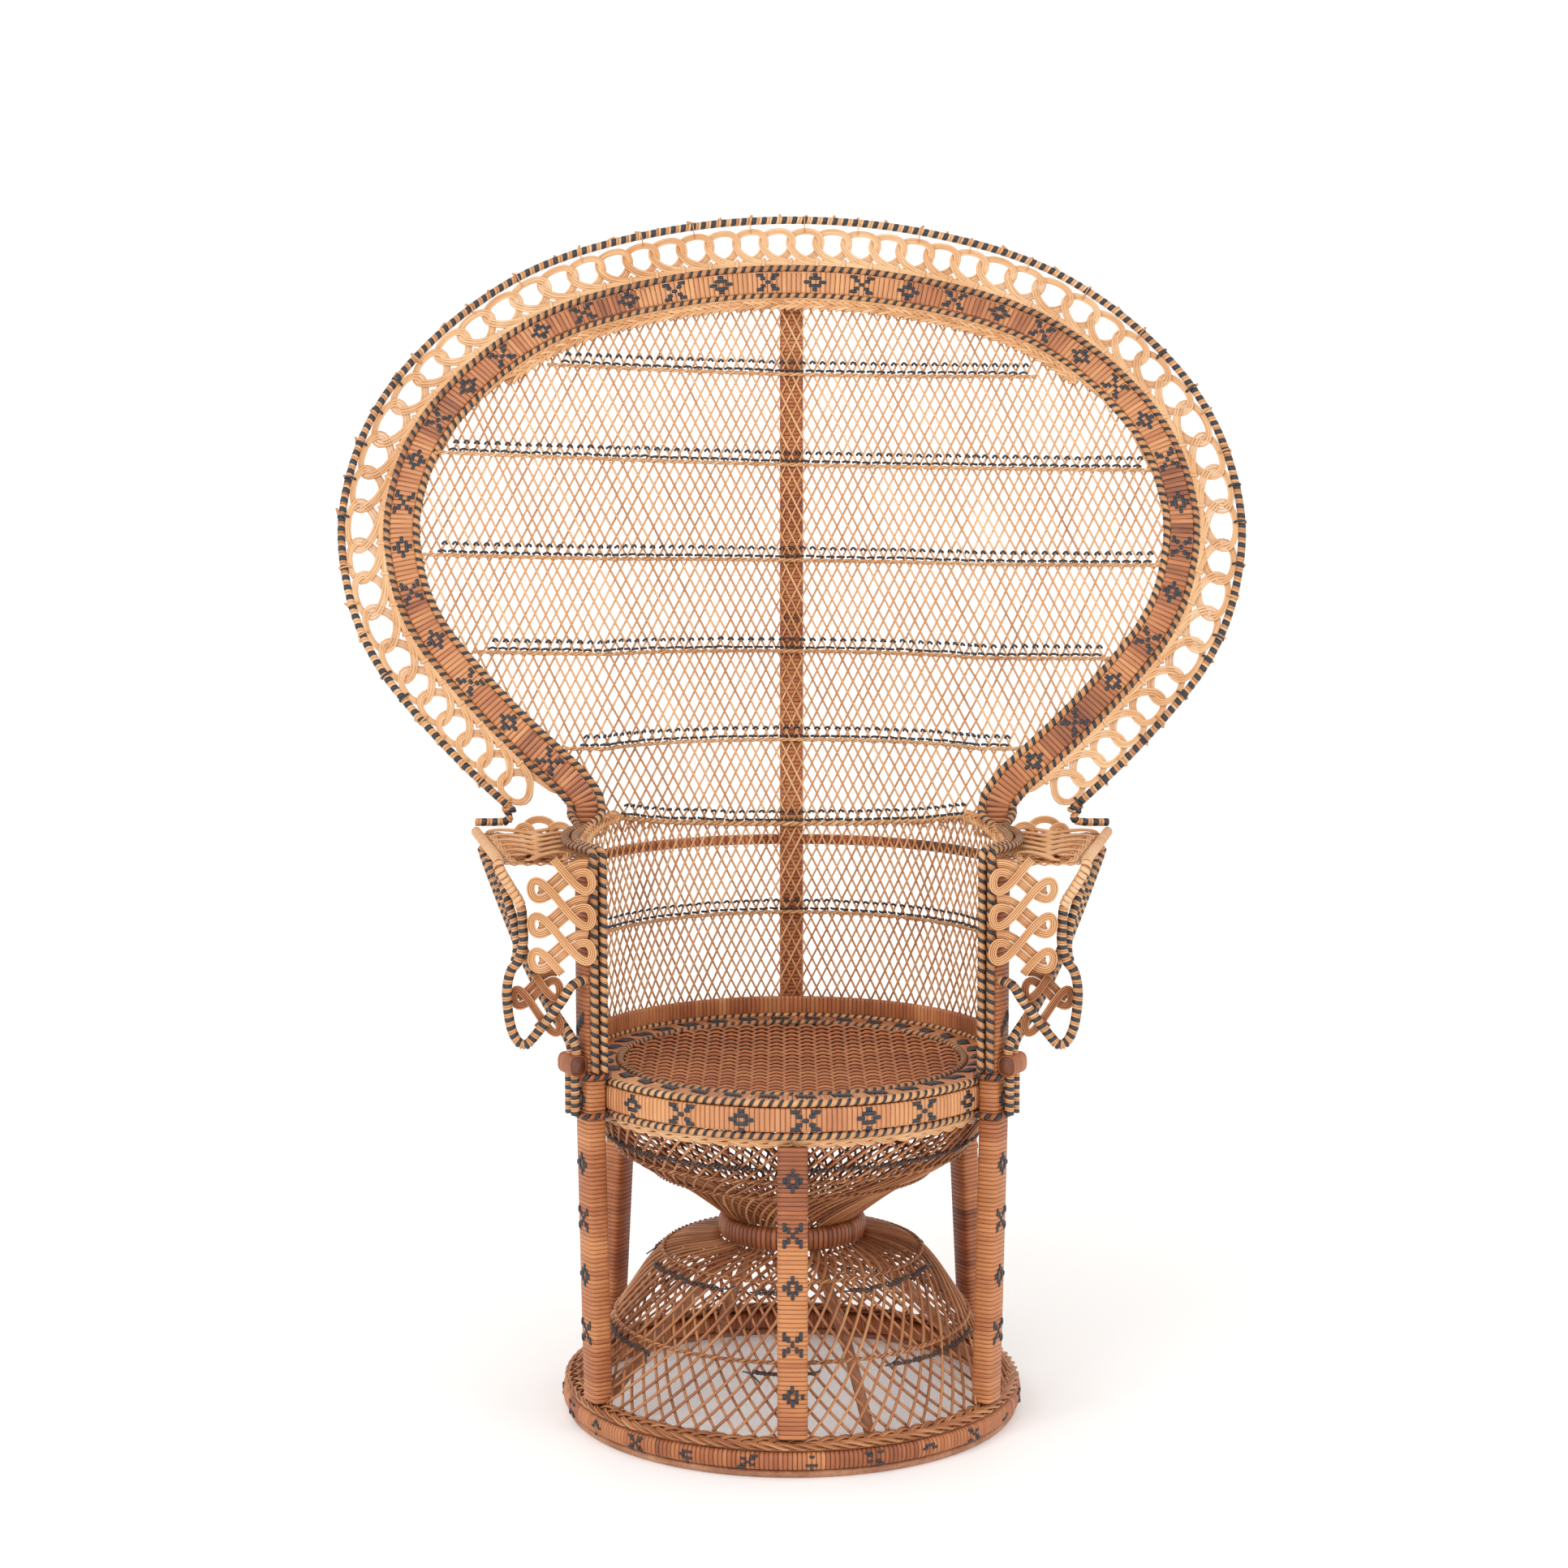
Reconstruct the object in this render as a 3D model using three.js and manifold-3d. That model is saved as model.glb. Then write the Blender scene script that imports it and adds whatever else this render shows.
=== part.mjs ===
// A woven rattan peacock chair: an hourglass base on a hoop, a round seat, a half-round wall and a wide
// fan back inside a wrapped hoop, with two scrolled arms. Millimetres, +Z up, facing -Y. Every piece is drawn
// about the seat's middle, and the chair is then moved so that the origin is on the floor under the middle
// of its outline.
import * as THREE from 'three';
import { mergeVertices } from 'three/addons/utils/BufferGeometryUtils.js';
import Module from 'manifold-3d';

const wasm = await Module();
wasm.setup();

// Common values
const CLEARANCE = 0.3; // left wherever two pieces meet
const WELD = 0.001; // points closer than this are one point
const DEGREE = Math.PI / 180;
const TURN_STEPS = 24; // sides of every full ring
const BRAID_SIDES = 5;
const ROD_SIDES = 6;
const LOOPS_PER_SIDE = 22;
const WALL_COLUMNS = 10;
const FAN_COLUMNS = 12;
const ARM_BRAID_STEPS = 12;
const CURL_STEPS = 6;
const EDGE_ROD_STEPS = 36;
const SIDE_ROD_STEPS = 14;

// Base
const BASE_RADIUS = 271; // outside of the wrapped base hoop
const BASE_HOOP_DEPTH = 26;
const BASE_HOOP_HEIGHT = 22;
const BASE_PLAIT_HEIGHT = 12;
const FOOT_HEIGHT = 9; // bare pole that the chair stands on
const FOOT_DEPTH = 16;
const FOOT_INSET = 5;
const RING_BEVEL = 4;
const WAIST_RADIUS = 87;
const WAIST_DEPTH = 19;
const WAIST_HEIGHT = 27;
const WAIST_UNDERSIDE = 203; // above the floor

// Seat
const SEAT_HEIGHT = 417; // top of the border round the woven seat
const SEAT_RADIUS = 249; // outside of the apron
const APRON_HEIGHT = 27;
const APRON_WRAP = 7;
const FRAME_DEPTH = 16; // hidden hoop that the seat is woven on
const BORDER_THICKNESS = 6;
const RIM_BRAID = 9;
const SEAT_BRAID = 8;
const BORDER_WIDTH = 34; // from the rim braid in to the braid round the woven seat
const WOVEN_THICKNESS = 8;
const SLAT_WIDTH = 22;
const SLAT_THICKNESS = 12;
const SLAT_SPACING = 110;
const UNDER_PLAIT_HEIGHT = 8;
const UNDER_PLAIT_DEPTH = 16;

// Legs, posts and struts
const LEG_WIDTH = 34;
const LEG_DEPTH = 26;
const LEG_BEVEL = 5;
const LEG_INSET = 2; // foot of a leg inside the rim of the base plait
const POST_ANGLE = 60 * DEGREE; // from the front, for the two legs that run up as arm posts
const REAR_LEG_ANGLE = 120 * DEGREE;
const STRUT_DIAMETER = 14;
const STRUT_ANGLE = 22 * DEGREE;
const STRUT_COUNT = 4;
const STRUT_FOOT_RISE = 14;

// Open cane nets
const NET_THICKNESS = 4;
const TWINE_SIZE = 5; // height and depth of a twined row

// Back
const WALL_BAND_HEIGHT = 20;
const WALL_BAND_THICKNESS = 7;
const ARM_HEIGHT = 674; // top of the plaited arms
const ARM_THICKNESS = 10;
const TOP_ROW_HEIGHT = 9; // the twined row that caps the half-round wall
const TOP_ROW_DEPTH = 8;
const LOW_ROW_RISE = 136; // from the rim of the seat to the lowest twined row
const RAIL_DIAMETER = 13;
const RAIL_DROP = 26; // from the top of the wall to the middle of the rail
const SPINE_DEPTH = 24;
const SPINE_WIDTH = 30;

// Hoop of the fan back, measured to the inner braid
const HOOP_HALF_WIDTH = 456;
const HOOP_TOP = 1312;
const NECK_RISE = 30; // from the arms to where the hoop starts to widen
const BACK_REACH = 350; // how far the top lies behind the seat's centre
const HOOP_BRAID = 10;
const HOOP_BAND_WIDTH = 25;
const HOOP_BAND_THICKNESS = 8;
const LOOP_HEIGHT = 43;
const LOOP_THICKNESS = 5;
const RIM_ROD = 11;
const TOP_PLAIT_WIDTH = 12;
const TOP_PLAIT_THICKNESS = 4;

// Arms
const ARM_FRONT_HALF_WIDTH = 325; // to the middle of the edge rod
const ARM_BACK_HALF_WIDTH = 378;
const ARM_BACK_DEPTH = 100; // back corner of the arms, behind the seat's centre
const ARM_ROD = 12;
const ARM_ROD_LEAD = 23; // how far the front rods stand ahead of the posts' middle
const PANEL_THICKNESS = 5;
const SIDE_ROD = 11;
const CUP_HEIGHT = 24;
const CUP_DEPTH = 20;
const CUP_WALL = 3;
const STUB_LENGTH = 45;

// Heights that follow
const baseHoopTop = FOOT_HEIGHT + BASE_HOOP_HEIGHT;
const basePlaitBottom = baseHoopTop + CLEARANCE;
const basePlaitTop = basePlaitBottom + BASE_PLAIT_HEIGHT;
const legBottom = basePlaitTop + CLEARANCE;
const waistTop = WAIST_UNDERSIDE + WAIST_HEIGHT;
const frameTop = SEAT_HEIGHT - BORDER_THICKNESS - CLEARANCE;
const frameBottom = frameTop - APRON_HEIGHT;
const lowBraidHeight = frameBottom - CLEARANCE - RIM_BRAID / 2;
const underPlaitTop = lowBraidHeight - RIM_BRAID / 2 - CLEARANCE;
const underPlaitBottom = underPlaitTop - UNDER_PLAIT_HEIGHT;
const legTop = underPlaitBottom - CLEARANCE;
const rimBraidHeight = frameTop + CLEARANCE + RIM_BRAID / 2;
const rimTop = rimBraidHeight + RIM_BRAID / 2;
const slatTop = frameTop - CLEARANCE * 2 - (WOVEN_THICKNESS - BORDER_THICKNESS);
const wovenBottom = slatTop + CLEARANCE;
const wovenTop = wovenBottom + WOVEN_THICKNESS;
const wallBandBottom = rimTop + CLEARANCE;
const wallBandTop = wallBandBottom + WALL_BAND_HEIGHT;
const armBottom = ARM_HEIGHT - ARM_THICKNESS;
const wallTop = armBottom - CLEARANCE;
const wallNetTop = wallTop - TOP_ROW_HEIGHT - CLEARANCE;
const wallNetBottom = wallBandTop + CLEARANCE;
const railHeight = wallTop - RAIL_DROP;
const neckHeight = ARM_HEIGHT + NECK_RISE;
const hoopRise = HOOP_TOP - neckHeight;

// Radii that follow
const rimBraidRadius = SEAT_RADIUS - RIM_BRAID / 2;
const wallRadius = SEAT_RADIUS - NET_THICKNESS / 2;
const frameOuter = SEAT_RADIUS - APRON_WRAP - CLEARANCE;
const frameInner = frameOuter - FRAME_DEPTH;
const borderOuter = rimBraidRadius - RIM_BRAID / 2 - CLEARANCE;
const borderInner = borderOuter - BORDER_WIDTH;
const seatBraidRadius = borderInner - CLEARANCE - SEAT_BRAID / 2;
const wovenRadius = seatBraidRadius - SEAT_BRAID / 2 - CLEARANCE;
const underPlaitOuter = rimBraidRadius;
const underPlaitInner = underPlaitOuter - UNDER_PLAIT_DEPTH;
const legFootRadius = BASE_RADIUS - LEG_INSET - LEG_DEPTH / 2;
const legHeadRadius = (underPlaitOuter + underPlaitInner) / 2;
const postRadius = SEAT_RADIUS + CLEARANCE + LEG_DEPTH / 2;
const railRadius = SEAT_RADIUS + CLEARANCE + RAIL_DIAMETER / 2;
const spineRadius = SEAT_RADIUS + CLEARANCE + SPINE_DEPTH / 2;

// Finishes
const CANE = { color: 0xd9a066, roughness: 0.55 };
const WRAP = { color: 0xc07f4c, roughness: 0.5 };
const DARK_WRAP = { color: 0xa5643c, roughness: 0.55 };
const BRAID = { color: 0x7d5c46, roughness: 0.5 };
const POLE = { color: 0xb98f6a, roughness: 0.6 };

const UP = new THREE.Vector3(0, 0, 1);
const BACK = new THREE.Vector3(0, 1, 0);
const chair = new THREE.Group();

// Adds one named piece of the chair.
function addPiece(name, geometry, finish) {
  const material = new THREE.MeshStandardMaterial({ ...finish, metalness: 0 });
  const mesh = new THREE.Mesh(facingOut(geometry), material);
  mesh.name = name;
  chair.add(mesh);
}

// Position-only copy of a geometry whose shared points are merged.
function welded(geometry) {
  const bare = geometry.clone();
  bare.deleteAttribute('normal');
  bare.deleteAttribute('uv');
  return mergeVertices(bare, WELD);
}

function signedVolume(geometry) {
  const { position } = geometry.attributes;
  const corners = geometry.index.array;
  const [a, b, c] = [new THREE.Vector3(), new THREE.Vector3(), new THREE.Vector3()];
  let volume = 0;
  for (let i = 0; i < corners.length; i += 3) {
    a.fromBufferAttribute(position, corners[i]);
    b.fromBufferAttribute(position, corners[i + 1]);
    c.fromBufferAttribute(position, corners[i + 2]);
    volume += a.dot(b.cross(c));
  }
  return volume;
}

// Welded copy whose faces all point outwards.
function facingOut(geometry) {
  const made = welded(geometry);
  if (signedVolume(made) < 0) made.index.array.reverse();
  made.computeVertexNormals();
  return made;
}

function solidOf(geometry) {
  const made = facingOut(geometry);
  return new wasm.Manifold(new wasm.Mesh({
    numProp: 3,
    vertProperties: new Float32Array(made.attributes.position.array),
    triVerts: new Uint32Array(made.index.array),
  }));
}

function geometryOf(solid) {
  const mesh = solid.getMesh();
  const geometry = new THREE.BufferGeometry();
  geometry.setAttribute('position', new THREE.BufferAttribute(new Float32Array(mesh.vertProperties), 3));
  geometry.setIndex(new THREE.BufferAttribute(new Uint32Array(mesh.triVerts), 1));
  return geometry;
}

function cut(geometry, ...cutters) {
  return geometryOf(cutters.reduce((solid, cutter) => solid.subtract(solidOf(cutter)), solidOf(geometry)));
}

function joined(...geometries) {
  return geometryOf(geometries.map(solidOf).reduce((solid, other) => solid.add(other)));
}

function common(geometry, other) {
  return geometryOf(solidOf(geometry).intersect(solidOf(other)));
}

function mirrored(geometry) {
  return geometry.clone().applyMatrix4(new THREE.Matrix4().makeScale(-1, 1, 1));
}

// Point at a radius, an angle from the front and a height.
function around(radius, angle, height) {
  return new THREE.Vector3(radius * Math.sin(angle), -radius * Math.cos(angle), height);
}

// Full ring about the Z axis whose section is a list of [radius, height].
function ring(section) {
  const profile = [...section, section[0]].map(([radius, height]) => new THREE.Vector2(radius, height));
  return new THREE.LatheGeometry(profile, TURN_STEPS).rotateX(Math.PI / 2);
}

function flatRing(inner, outer, bottom, top) {
  return ring([[inner, bottom], [outer, bottom], [outer, top], [inner, top]]);
}

// Ring with its two outer edges cut off at an angle.
function bevelledRing(inner, outer, bottom, top) {
  return ring([
    [inner, bottom],
    [outer - RING_BEVEL, bottom],
    [outer, bottom + RING_BEVEL],
    [outer, top - RING_BEVEL],
    [outer - RING_BEVEL, top],
    [inner, top],
  ]);
}

// Corners of a regular section, the first one pointing along the first axis.
function roundSection(diameter, sides) {
  return Array.from({ length: sides }, (_, i) => {
    const angle = (2 * Math.PI * i) / sides;
    return [Math.cos(angle) * diameter / 2, Math.sin(angle) * diameter / 2];
  });
}

function disc(radius, bottom, top) {
  return new THREE.CylinderGeometry(radius, radius, top - bottom, TURN_STEPS)
    .rotateX(Math.PI / 2).translate(0, 0, (bottom + top) / 2);
}

function roundRing(radius, height, diameter) {
  const section = roundSection(diameter, BRAID_SIDES);
  return ring(section.map(([out, up]) => [radius + out, height + up]));
}

// Rectangle with cut corners.
function bevelledSection(width, depth, bevel) {
  const [x, y] = [width / 2, depth / 2];
  return [
    [x, y - bevel], [x - bevel, y], [bevel - x, y], [-x, y - bevel],
    [-x, bevel - y], [bevel - x, -y], [x - bevel, -y], [x, bevel - y],
  ];
}

function flatSection(width, depth) {
  return [[width / 2, depth / 2], [-width / 2, depth / 2], [-width / 2, -depth / 2], [width / 2, -depth / 2]];
}

// Closed skin through a section at each station. A station has its middle at, and two directions across
// and out that carry the section's two axes.
function sweep(stations, section) {
  const points = stations.flatMap(({ at, across, out }) => section.map(([a, b]) => (
    at.clone().addScaledVector(across, a).addScaledVector(out, b))));
  const sides = section.length;
  const last = (stations.length - 1) * sides;
  const faces = [];
  for (let start = 0; start < last; start += sides) {
    for (let i = 0; i < sides; i += 1) {
      const next = (i + 1) % sides;
      faces.push(start + i, start + next, start + sides + next);
      faces.push(start + i, start + sides + next, start + sides + i);
    }
  }
  for (let i = 1; i < sides - 1; i += 1) {
    faces.push(0, i + 1, i);
    faces.push(last, last + i, last + i + 1);
  }
  return new THREE.BufferGeometry().setFromPoints(points).setIndex(faces);
}

// Path whose steps are the points it is given, however they are spaced.
class Route extends THREE.Curve {
  constructor(points) {
    super();
    this.points = points;
  }

  getPoint(share, target = new THREE.Vector3()) {
    const last = this.points.length - 1;
    const place = share * last;
    const start = Math.min(Math.floor(place), last - 1);
    return target.lerpVectors(this.points[start], this.points[start + 1], place - start);
  }

  getPointAt(share, target) {
    return this.getPoint(share, target);
  }

  getTangentAt(share, target) {
    return this.getTangent(share, target);
  }
}

// Rod through points, as an extruded section.
function rod(points, diameter, sides = ROD_SIDES) {
  const section = roundSection(diameter, sides).map(([x, y]) => new THREE.Vector2(x, y));
  return new THREE.ExtrudeGeometry(new THREE.Shape(section), {
    steps: points.length - 1, extrudePath: new Route(points), bevelEnabled: false,
  });
}

// Evenly spaced points along a smooth curve through the given ones.
function smooth(points, steps) {
  return new THREE.CatmullRomCurve3(points, false, 'centripetal').getSpacedPoints(steps);
}

// Plate standing across the chair: an outline and holes in [x, z], with its front face at a depth y.
function uprightPlate(outline, holes, front, thickness) {
  const shape = shapeOf(outline);
  shape.holes = holes.map(shapeOf);
  return new THREE.ExtrudeGeometry(shape, { depth: thickness, bevelEnabled: false })
    .rotateX(Math.PI / 2).translate(0, front + thickness, 0);
}

function shapeOf(outline) {
  return new THREE.Shape(outline.map(([x, y]) => new THREE.Vector2(x, y)));
}

// Net of diamond gaps over a surface, with half diamonds along its edges. place(column, row, side) gives a
// crossing's point on one face, and side is 1 or -1. A net that wraps joins its last column to its first.
function net(columns, rows, wraps, open, place) {
  const width = columns * 2;
  const crossing = (i, j) => [wraps ? (i + width) % width : i, j];
  const cells = [];
  for (let j = 0; j <= rows; j += 1) {
    for (let i = 0; i < width + (wraps ? 0 : 1); i += 1) {
      if ((i + j) % 2 === 0) continue;
      const corners = [[i, j - 1], [i + 1, j], [i, j + 1], [i - 1, j]];
      const inside = corners.filter(([a, b]) => b >= 0 && b <= rows && (wraps || (a >= 0 && a <= width)));
      if (inside.length > 2) cells.push(inside.map(([a, b]) => crossing(a, b)));
    }
  }
  return netOfCells(cells, open, ([i, j], side) => place(i, j, side));
}

// Net whose cells are lists of corners in one turning sense. Each cell has a gap that is its own outline
// drawn in towards its middle.
function netOfCells(cells, open, place) {
  const edgeUses = new Map();
  const edgeName = (a, b) => [a.join(), b.join()].sort().join(' ');
  cells.forEach((cell) => cell.forEach((corner, k) => {
    const name = edgeName(corner, cell[(k + 1) % cell.length]);
    edgeUses.set(name, (edgeUses.get(name) ?? 0) + 1);
  }));
  const points = [];
  cells.forEach((cell) => {
    const [front, back] = [1, -1].map((side) => cell.map((corner) => place(corner, side)));
    const [frontGap, backGap] = [front, back].map((face) => {
      const sum = face.reduce((total, point) => total.add(point), new THREE.Vector3());
      const middle = sum.divideScalar(face.length);
      return face.map((point) => middle.clone().lerp(point, open));
    });
    cell.forEach((corner, k) => {
      const n = (k + 1) % cell.length;
      points.push(front[k], front[n], frontGap[n], front[k], frontGap[n], frontGap[k]);
      points.push(back[k], backGap[k], backGap[n], back[k], backGap[n], back[n]);
      points.push(frontGap[k], frontGap[n], backGap[n], frontGap[k], backGap[n], backGap[k]);
      if (edgeUses.get(edgeName(corner, cell[n])) === 1) {
        points.push(front[n], front[k], back[k], front[n], back[k], back[n]);
      }
    });
  });
  return new THREE.BufferGeometry().setFromPoints(points);
}

// Base hoop, with the bare pole under its wrapping, and waist
const baseInner = BASE_RADIUS - BASE_HOOP_DEPTH;
addPiece('base_hoop', ring([
  [BASE_RADIUS - FOOT_INSET - FOOT_DEPTH, 0],
  [BASE_RADIUS - FOOT_INSET, 0],
  [BASE_RADIUS - FOOT_INSET, FOOT_HEIGHT],
  [BASE_RADIUS, FOOT_HEIGHT + RING_BEVEL],
  [BASE_RADIUS, baseHoopTop - RING_BEVEL],
  [BASE_RADIUS - RING_BEVEL, baseHoopTop],
  [baseInner, baseHoopTop],
  [baseInner, FOOT_HEIGHT],
  [BASE_RADIUS - FOOT_INSET - FOOT_DEPTH, FOOT_HEIGHT],
]), DARK_WRAP);
addPiece('base_plait', flatRing(baseInner, BASE_RADIUS, basePlaitBottom, basePlaitTop), CANE);
const waistInner = WAIST_RADIUS - WAIST_DEPTH;
addPiece('waist_ring', bevelledRing(waistInner, WAIST_RADIUS, WAIST_UNDERSIDE, waistTop), WRAP);

// Legs: a leg's stations go up its middle, and grow widens its section on every side.
function post(stations, grow = 0) {
  return sweep(stations, bevelledSection(LEG_WIDTH + grow * 2, LEG_DEPTH + grow * 2, LEG_BEVEL));
}

// Station of an upright at an angle from the front.
function uprightStation(radius, angle, height) {
  return {
    at: around(radius, angle, height),
    across: new THREE.Vector3(Math.cos(angle), Math.sin(angle), 0),
    out: new THREE.Vector3(Math.sin(angle), -Math.cos(angle), 0),
  };
}

function legStations(angle) {
  return [uprightStation(legFootRadius, angle, legBottom), uprightStation(legHeadRadius, angle, legTop)];
}

function armPostStations(angle) {
  return [
    uprightStation(legFootRadius, angle, legBottom),
    uprightStation(postRadius, angle, legTop),
    uprightStation(postRadius, angle, wallTop),
  ];
}

addPiece('front_leg', post(legStations(0)), WRAP);
addPiece('rear_leg_right', post(legStations(REAR_LEG_ANGLE)), WRAP);
addPiece('rear_leg_left', post(legStations(-REAR_LEG_ANGLE)), WRAP);
addPiece('arm_post_right', post(armPostStations(POST_ANGLE)), WRAP);
addPiece('arm_post_left', post(armPostStations(-POST_ANGLE)), WRAP);

// Inner struts lean from under the waist ring out to the inside of the base hoop. They are made long, and
// their ends are cut to the two rings.
const waistCutter = disc(WAIST_RADIUS, WAIST_UNDERSIDE - CLEARANCE, waistTop);
const baseCutter = flatRing(baseInner - CLEARANCE, BASE_RADIUS, -STRUT_DIAMETER * 2, basePlaitTop);
const strutOverrunShare = 0.08;
for (let i = 0; i < STRUT_COUNT; i += 1) {
  const angle = STRUT_ANGLE + (2 * Math.PI * i) / STRUT_COUNT;
  const head = around(waistInner, angle, WAIST_UNDERSIDE);
  const foot = around(baseInner, angle, STRUT_FOOT_RISE);
  const strut = rod([
    head.clone().lerp(foot, -strutOverrunShare), foot.clone().lerp(head, -strutOverrunShare),
  ], STRUT_DIAMETER);
  addPiece(`inner_strut_${i + 1}`, cut(strut, waistCutter, baseCutter), DARK_WRAP);
}

// Nets of the hourglass. Each level is a share of the way out and a share of the way up.
const domeLevelShares = [[0, 1], [0.39, 0.89], [0.645, 0.55], [0.76, 0.34], [1, 0]];
const funnelLevelShares = [[0, 0], [0.35, 0.31], [0.79, 0.63], [1, 1]];
const hourglassOpenShare = 0.76;
const landingShare = 0.35; // of a ring's depth, from its inside to the net that meets it

function levelsBetween(shares, innerRadius, outerRadius, bottom, top) {
  return shares.map(([out, up]) => new THREE.Vector2(
    THREE.MathUtils.lerp(innerRadius, outerRadius, out), THREE.MathUtils.lerp(bottom, top, up)));
}

// Outward direction square to a profile at one of its levels, as radius and height. An end meets a ring
// over or under it, so its direction is level.
function levelNormal(levels, row) {
  if (row === 0 || row === levels.length - 1) return new THREE.Vector2(1, 0);
  const along = levels[row + 1].clone().sub(levels[row - 1]).normalize();
  return new THREE.Vector2(Math.abs(along.y), along.x * -Math.sign(along.y));
}

function turnedNet(levels) {
  return net(TURN_STEPS / 2, levels.length - 1, true, hourglassOpenShare, (column, row, side) => {
    const spot = levels[row].clone().addScaledVector(levelNormal(levels, row), (side * NET_THICKNESS) / 2);
    return around(spot.x, (2 * Math.PI * column) / TURN_STEPS, spot.y);
  });
}

// Twined ring outside a net at one of its levels.
function turnedTwine(levels, row) {
  const normal = levelNormal(levels, row);
  const middle = levels[row].clone().addScaledVector(normal, (NET_THICKNESS + TWINE_SIZE) / 2 + CLEARANCE);
  const along = new THREE.Vector2(-normal.y, normal.x);
  return ring(flatSection(TWINE_SIZE, TWINE_SIZE).map(([a, b]) => (
    middle.clone().addScaledVector(along, a).addScaledVector(normal, b).toArray())));
}

const domeLevels = levelsBetween(
  domeLevelShares,
  WAIST_RADIUS - NET_THICKNESS / 2,
  baseInner + BASE_HOOP_DEPTH * landingShare,
  basePlaitTop + CLEARANCE,
  WAIST_UNDERSIDE - CLEARANCE,
);
const funnelLevels = levelsBetween(
  funnelLevelShares,
  waistInner + WAIST_DEPTH * landingShare,
  underPlaitInner + UNDER_PLAIT_DEPTH * landingShare,
  waistTop + CLEARANCE,
  underPlaitBottom - CLEARANCE,
);
const footAngles = [0, POST_ANGLE, -POST_ANGLE, REAR_LEG_ANGLE, -REAR_LEG_ANGLE, Math.PI];
const grownLegs = footAngles.map((angle) => {
  const upright = angle === 0 || Math.abs(angle) === REAR_LEG_ANGLE;
  return post(upright ? legStations(angle) : armPostStations(angle), CLEARANCE);
});
addPiece('lower_dome', cut(turnedNet(domeLevels), ...grownLegs), CANE);
addPiece('upper_funnel', cut(turnedNet(funnelLevels), ...grownLegs), CANE);
addPiece('dome_twine_upper', turnedTwine(domeLevels, 1), BRAID);
addPiece('dome_twine_lower', turnedTwine(domeLevels, 3), BRAID);
addPiece('funnel_twine', turnedTwine(funnelLevels, 2), BRAID);

// Seat
addPiece('seat_frame_ring', flatRing(frameInner, frameOuter, frameBottom, frameTop), POLE);
addPiece('apron_band', flatRing(frameOuter + CLEARANCE, SEAT_RADIUS, frameBottom, frameTop), WRAP);
addPiece('rim_braid', roundRing(rimBraidRadius, rimBraidHeight, RIM_BRAID), BRAID);
addPiece('apron_lower_braid', roundRing(rimBraidRadius, lowBraidHeight, RIM_BRAID), BRAID);
addPiece('under_plait', flatRing(underPlaitInner, underPlaitOuter, underPlaitBottom, underPlaitTop), CANE);
addPiece('seat_border', flatRing(borderInner, borderOuter, frameTop + CLEARANCE, SEAT_HEIGHT), WRAP);
addPiece('seat_braid', roundRing(seatBraidRadius, wovenBottom + SEAT_BRAID / 2, SEAT_BRAID), BRAID);
addPiece('woven_seat', disc(wovenRadius, wovenBottom, wovenTop), CANE);
const frameHollow = disc(frameInner - CLEARANCE, frameBottom, frameTop);
const slat = new THREE.BoxGeometry(frameInner * 2, SLAT_WIDTH, SLAT_THICKNESS);
['front', 'rear'].forEach((name, i) => {
  const across = SLAT_SPACING * (i - 1 / 2);
  const placed = slat.clone().translate(0, across, slatTop - SLAT_THICKNESS / 2);
  addPiece(`seat_slat_${name}`, common(placed, frameHollow), POLE);
});

// Back surface. The half-round wall is a cylinder about the seat. Above the neck the fan opens out into the
// hoop, whose depth depends on the height alone, and its middle line leans back along the spine.
const neckShare = 0.92; // of the wall's radius
const hoopLeanShare = 1.38; // power of the rise that the hoop's depth follows
const crownLeanShare = 0.3; // slope above the hoop's top
const neckHalfWidth = wallRadius * neckShare;
const neckDepth = Math.sqrt(wallRadius ** 2 - neckHalfWidth ** 2);

function riseShare(height) {
  return THREE.MathUtils.clamp((height - neckHeight) / hoopRise, 0, 1);
}

function hoopDepth(height) {
  const crown = Math.max(height - HOOP_TOP, 0) * crownLeanShare;
  return THREE.MathUtils.lerp(neckDepth, BACK_REACH, riseShare(height) ** hoopLeanShare) + crown;
}

// Change of the hoop's depth with height.
function hoopSlope(height) {
  if (height >= HOOP_TOP) return crownLeanShare;
  const steepest = ((BACK_REACH - neckDepth) * hoopLeanShare) / hoopRise;
  return steepest * riseShare(height) ** (hoopLeanShare - 1);
}

function spineDepth(height) {
  const share = THREE.MathUtils.clamp((height - wallTop) / (HOOP_TOP - wallTop), 0, 1);
  return THREE.MathUtils.lerp(wallRadius, BACK_REACH, share);
}

// Inner braid of the hoop, from its top down the right side to the arm, as shares of the half width and of
// the rise.
const hoopShares = [
  [0, 1], [0.325, 0.979], [0.623, 0.916], [0.805, 0.825], [0.947, 0.698], [1, 0.569], [0.996, 0.487],
  [0.943, 0.369], [0.794, 0.233], [0.654, 0.131], [0.54, 0.052],
];
const hoopCorners = hoopShares.map(([wide, up]) => (
  new THREE.Vector3(HOOP_HALF_WIDTH * wide, 0, neckHeight + hoopRise * up)));
hoopCorners.push(new THREE.Vector3(neckHalfWidth, 0, neckHeight));
hoopCorners.push(new THREE.Vector3(neckHalfWidth, 0, ARM_HEIGHT + CLEARANCE));
const crownCorners = hoopCorners.slice(1).reverse().map(({ x, z }) => new THREE.Vector3(-x, 0, z));
const hoopCurve = new THREE.CatmullRomCurve3([...crownCorners, ...hoopCorners], false, 'centripetal');

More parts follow.
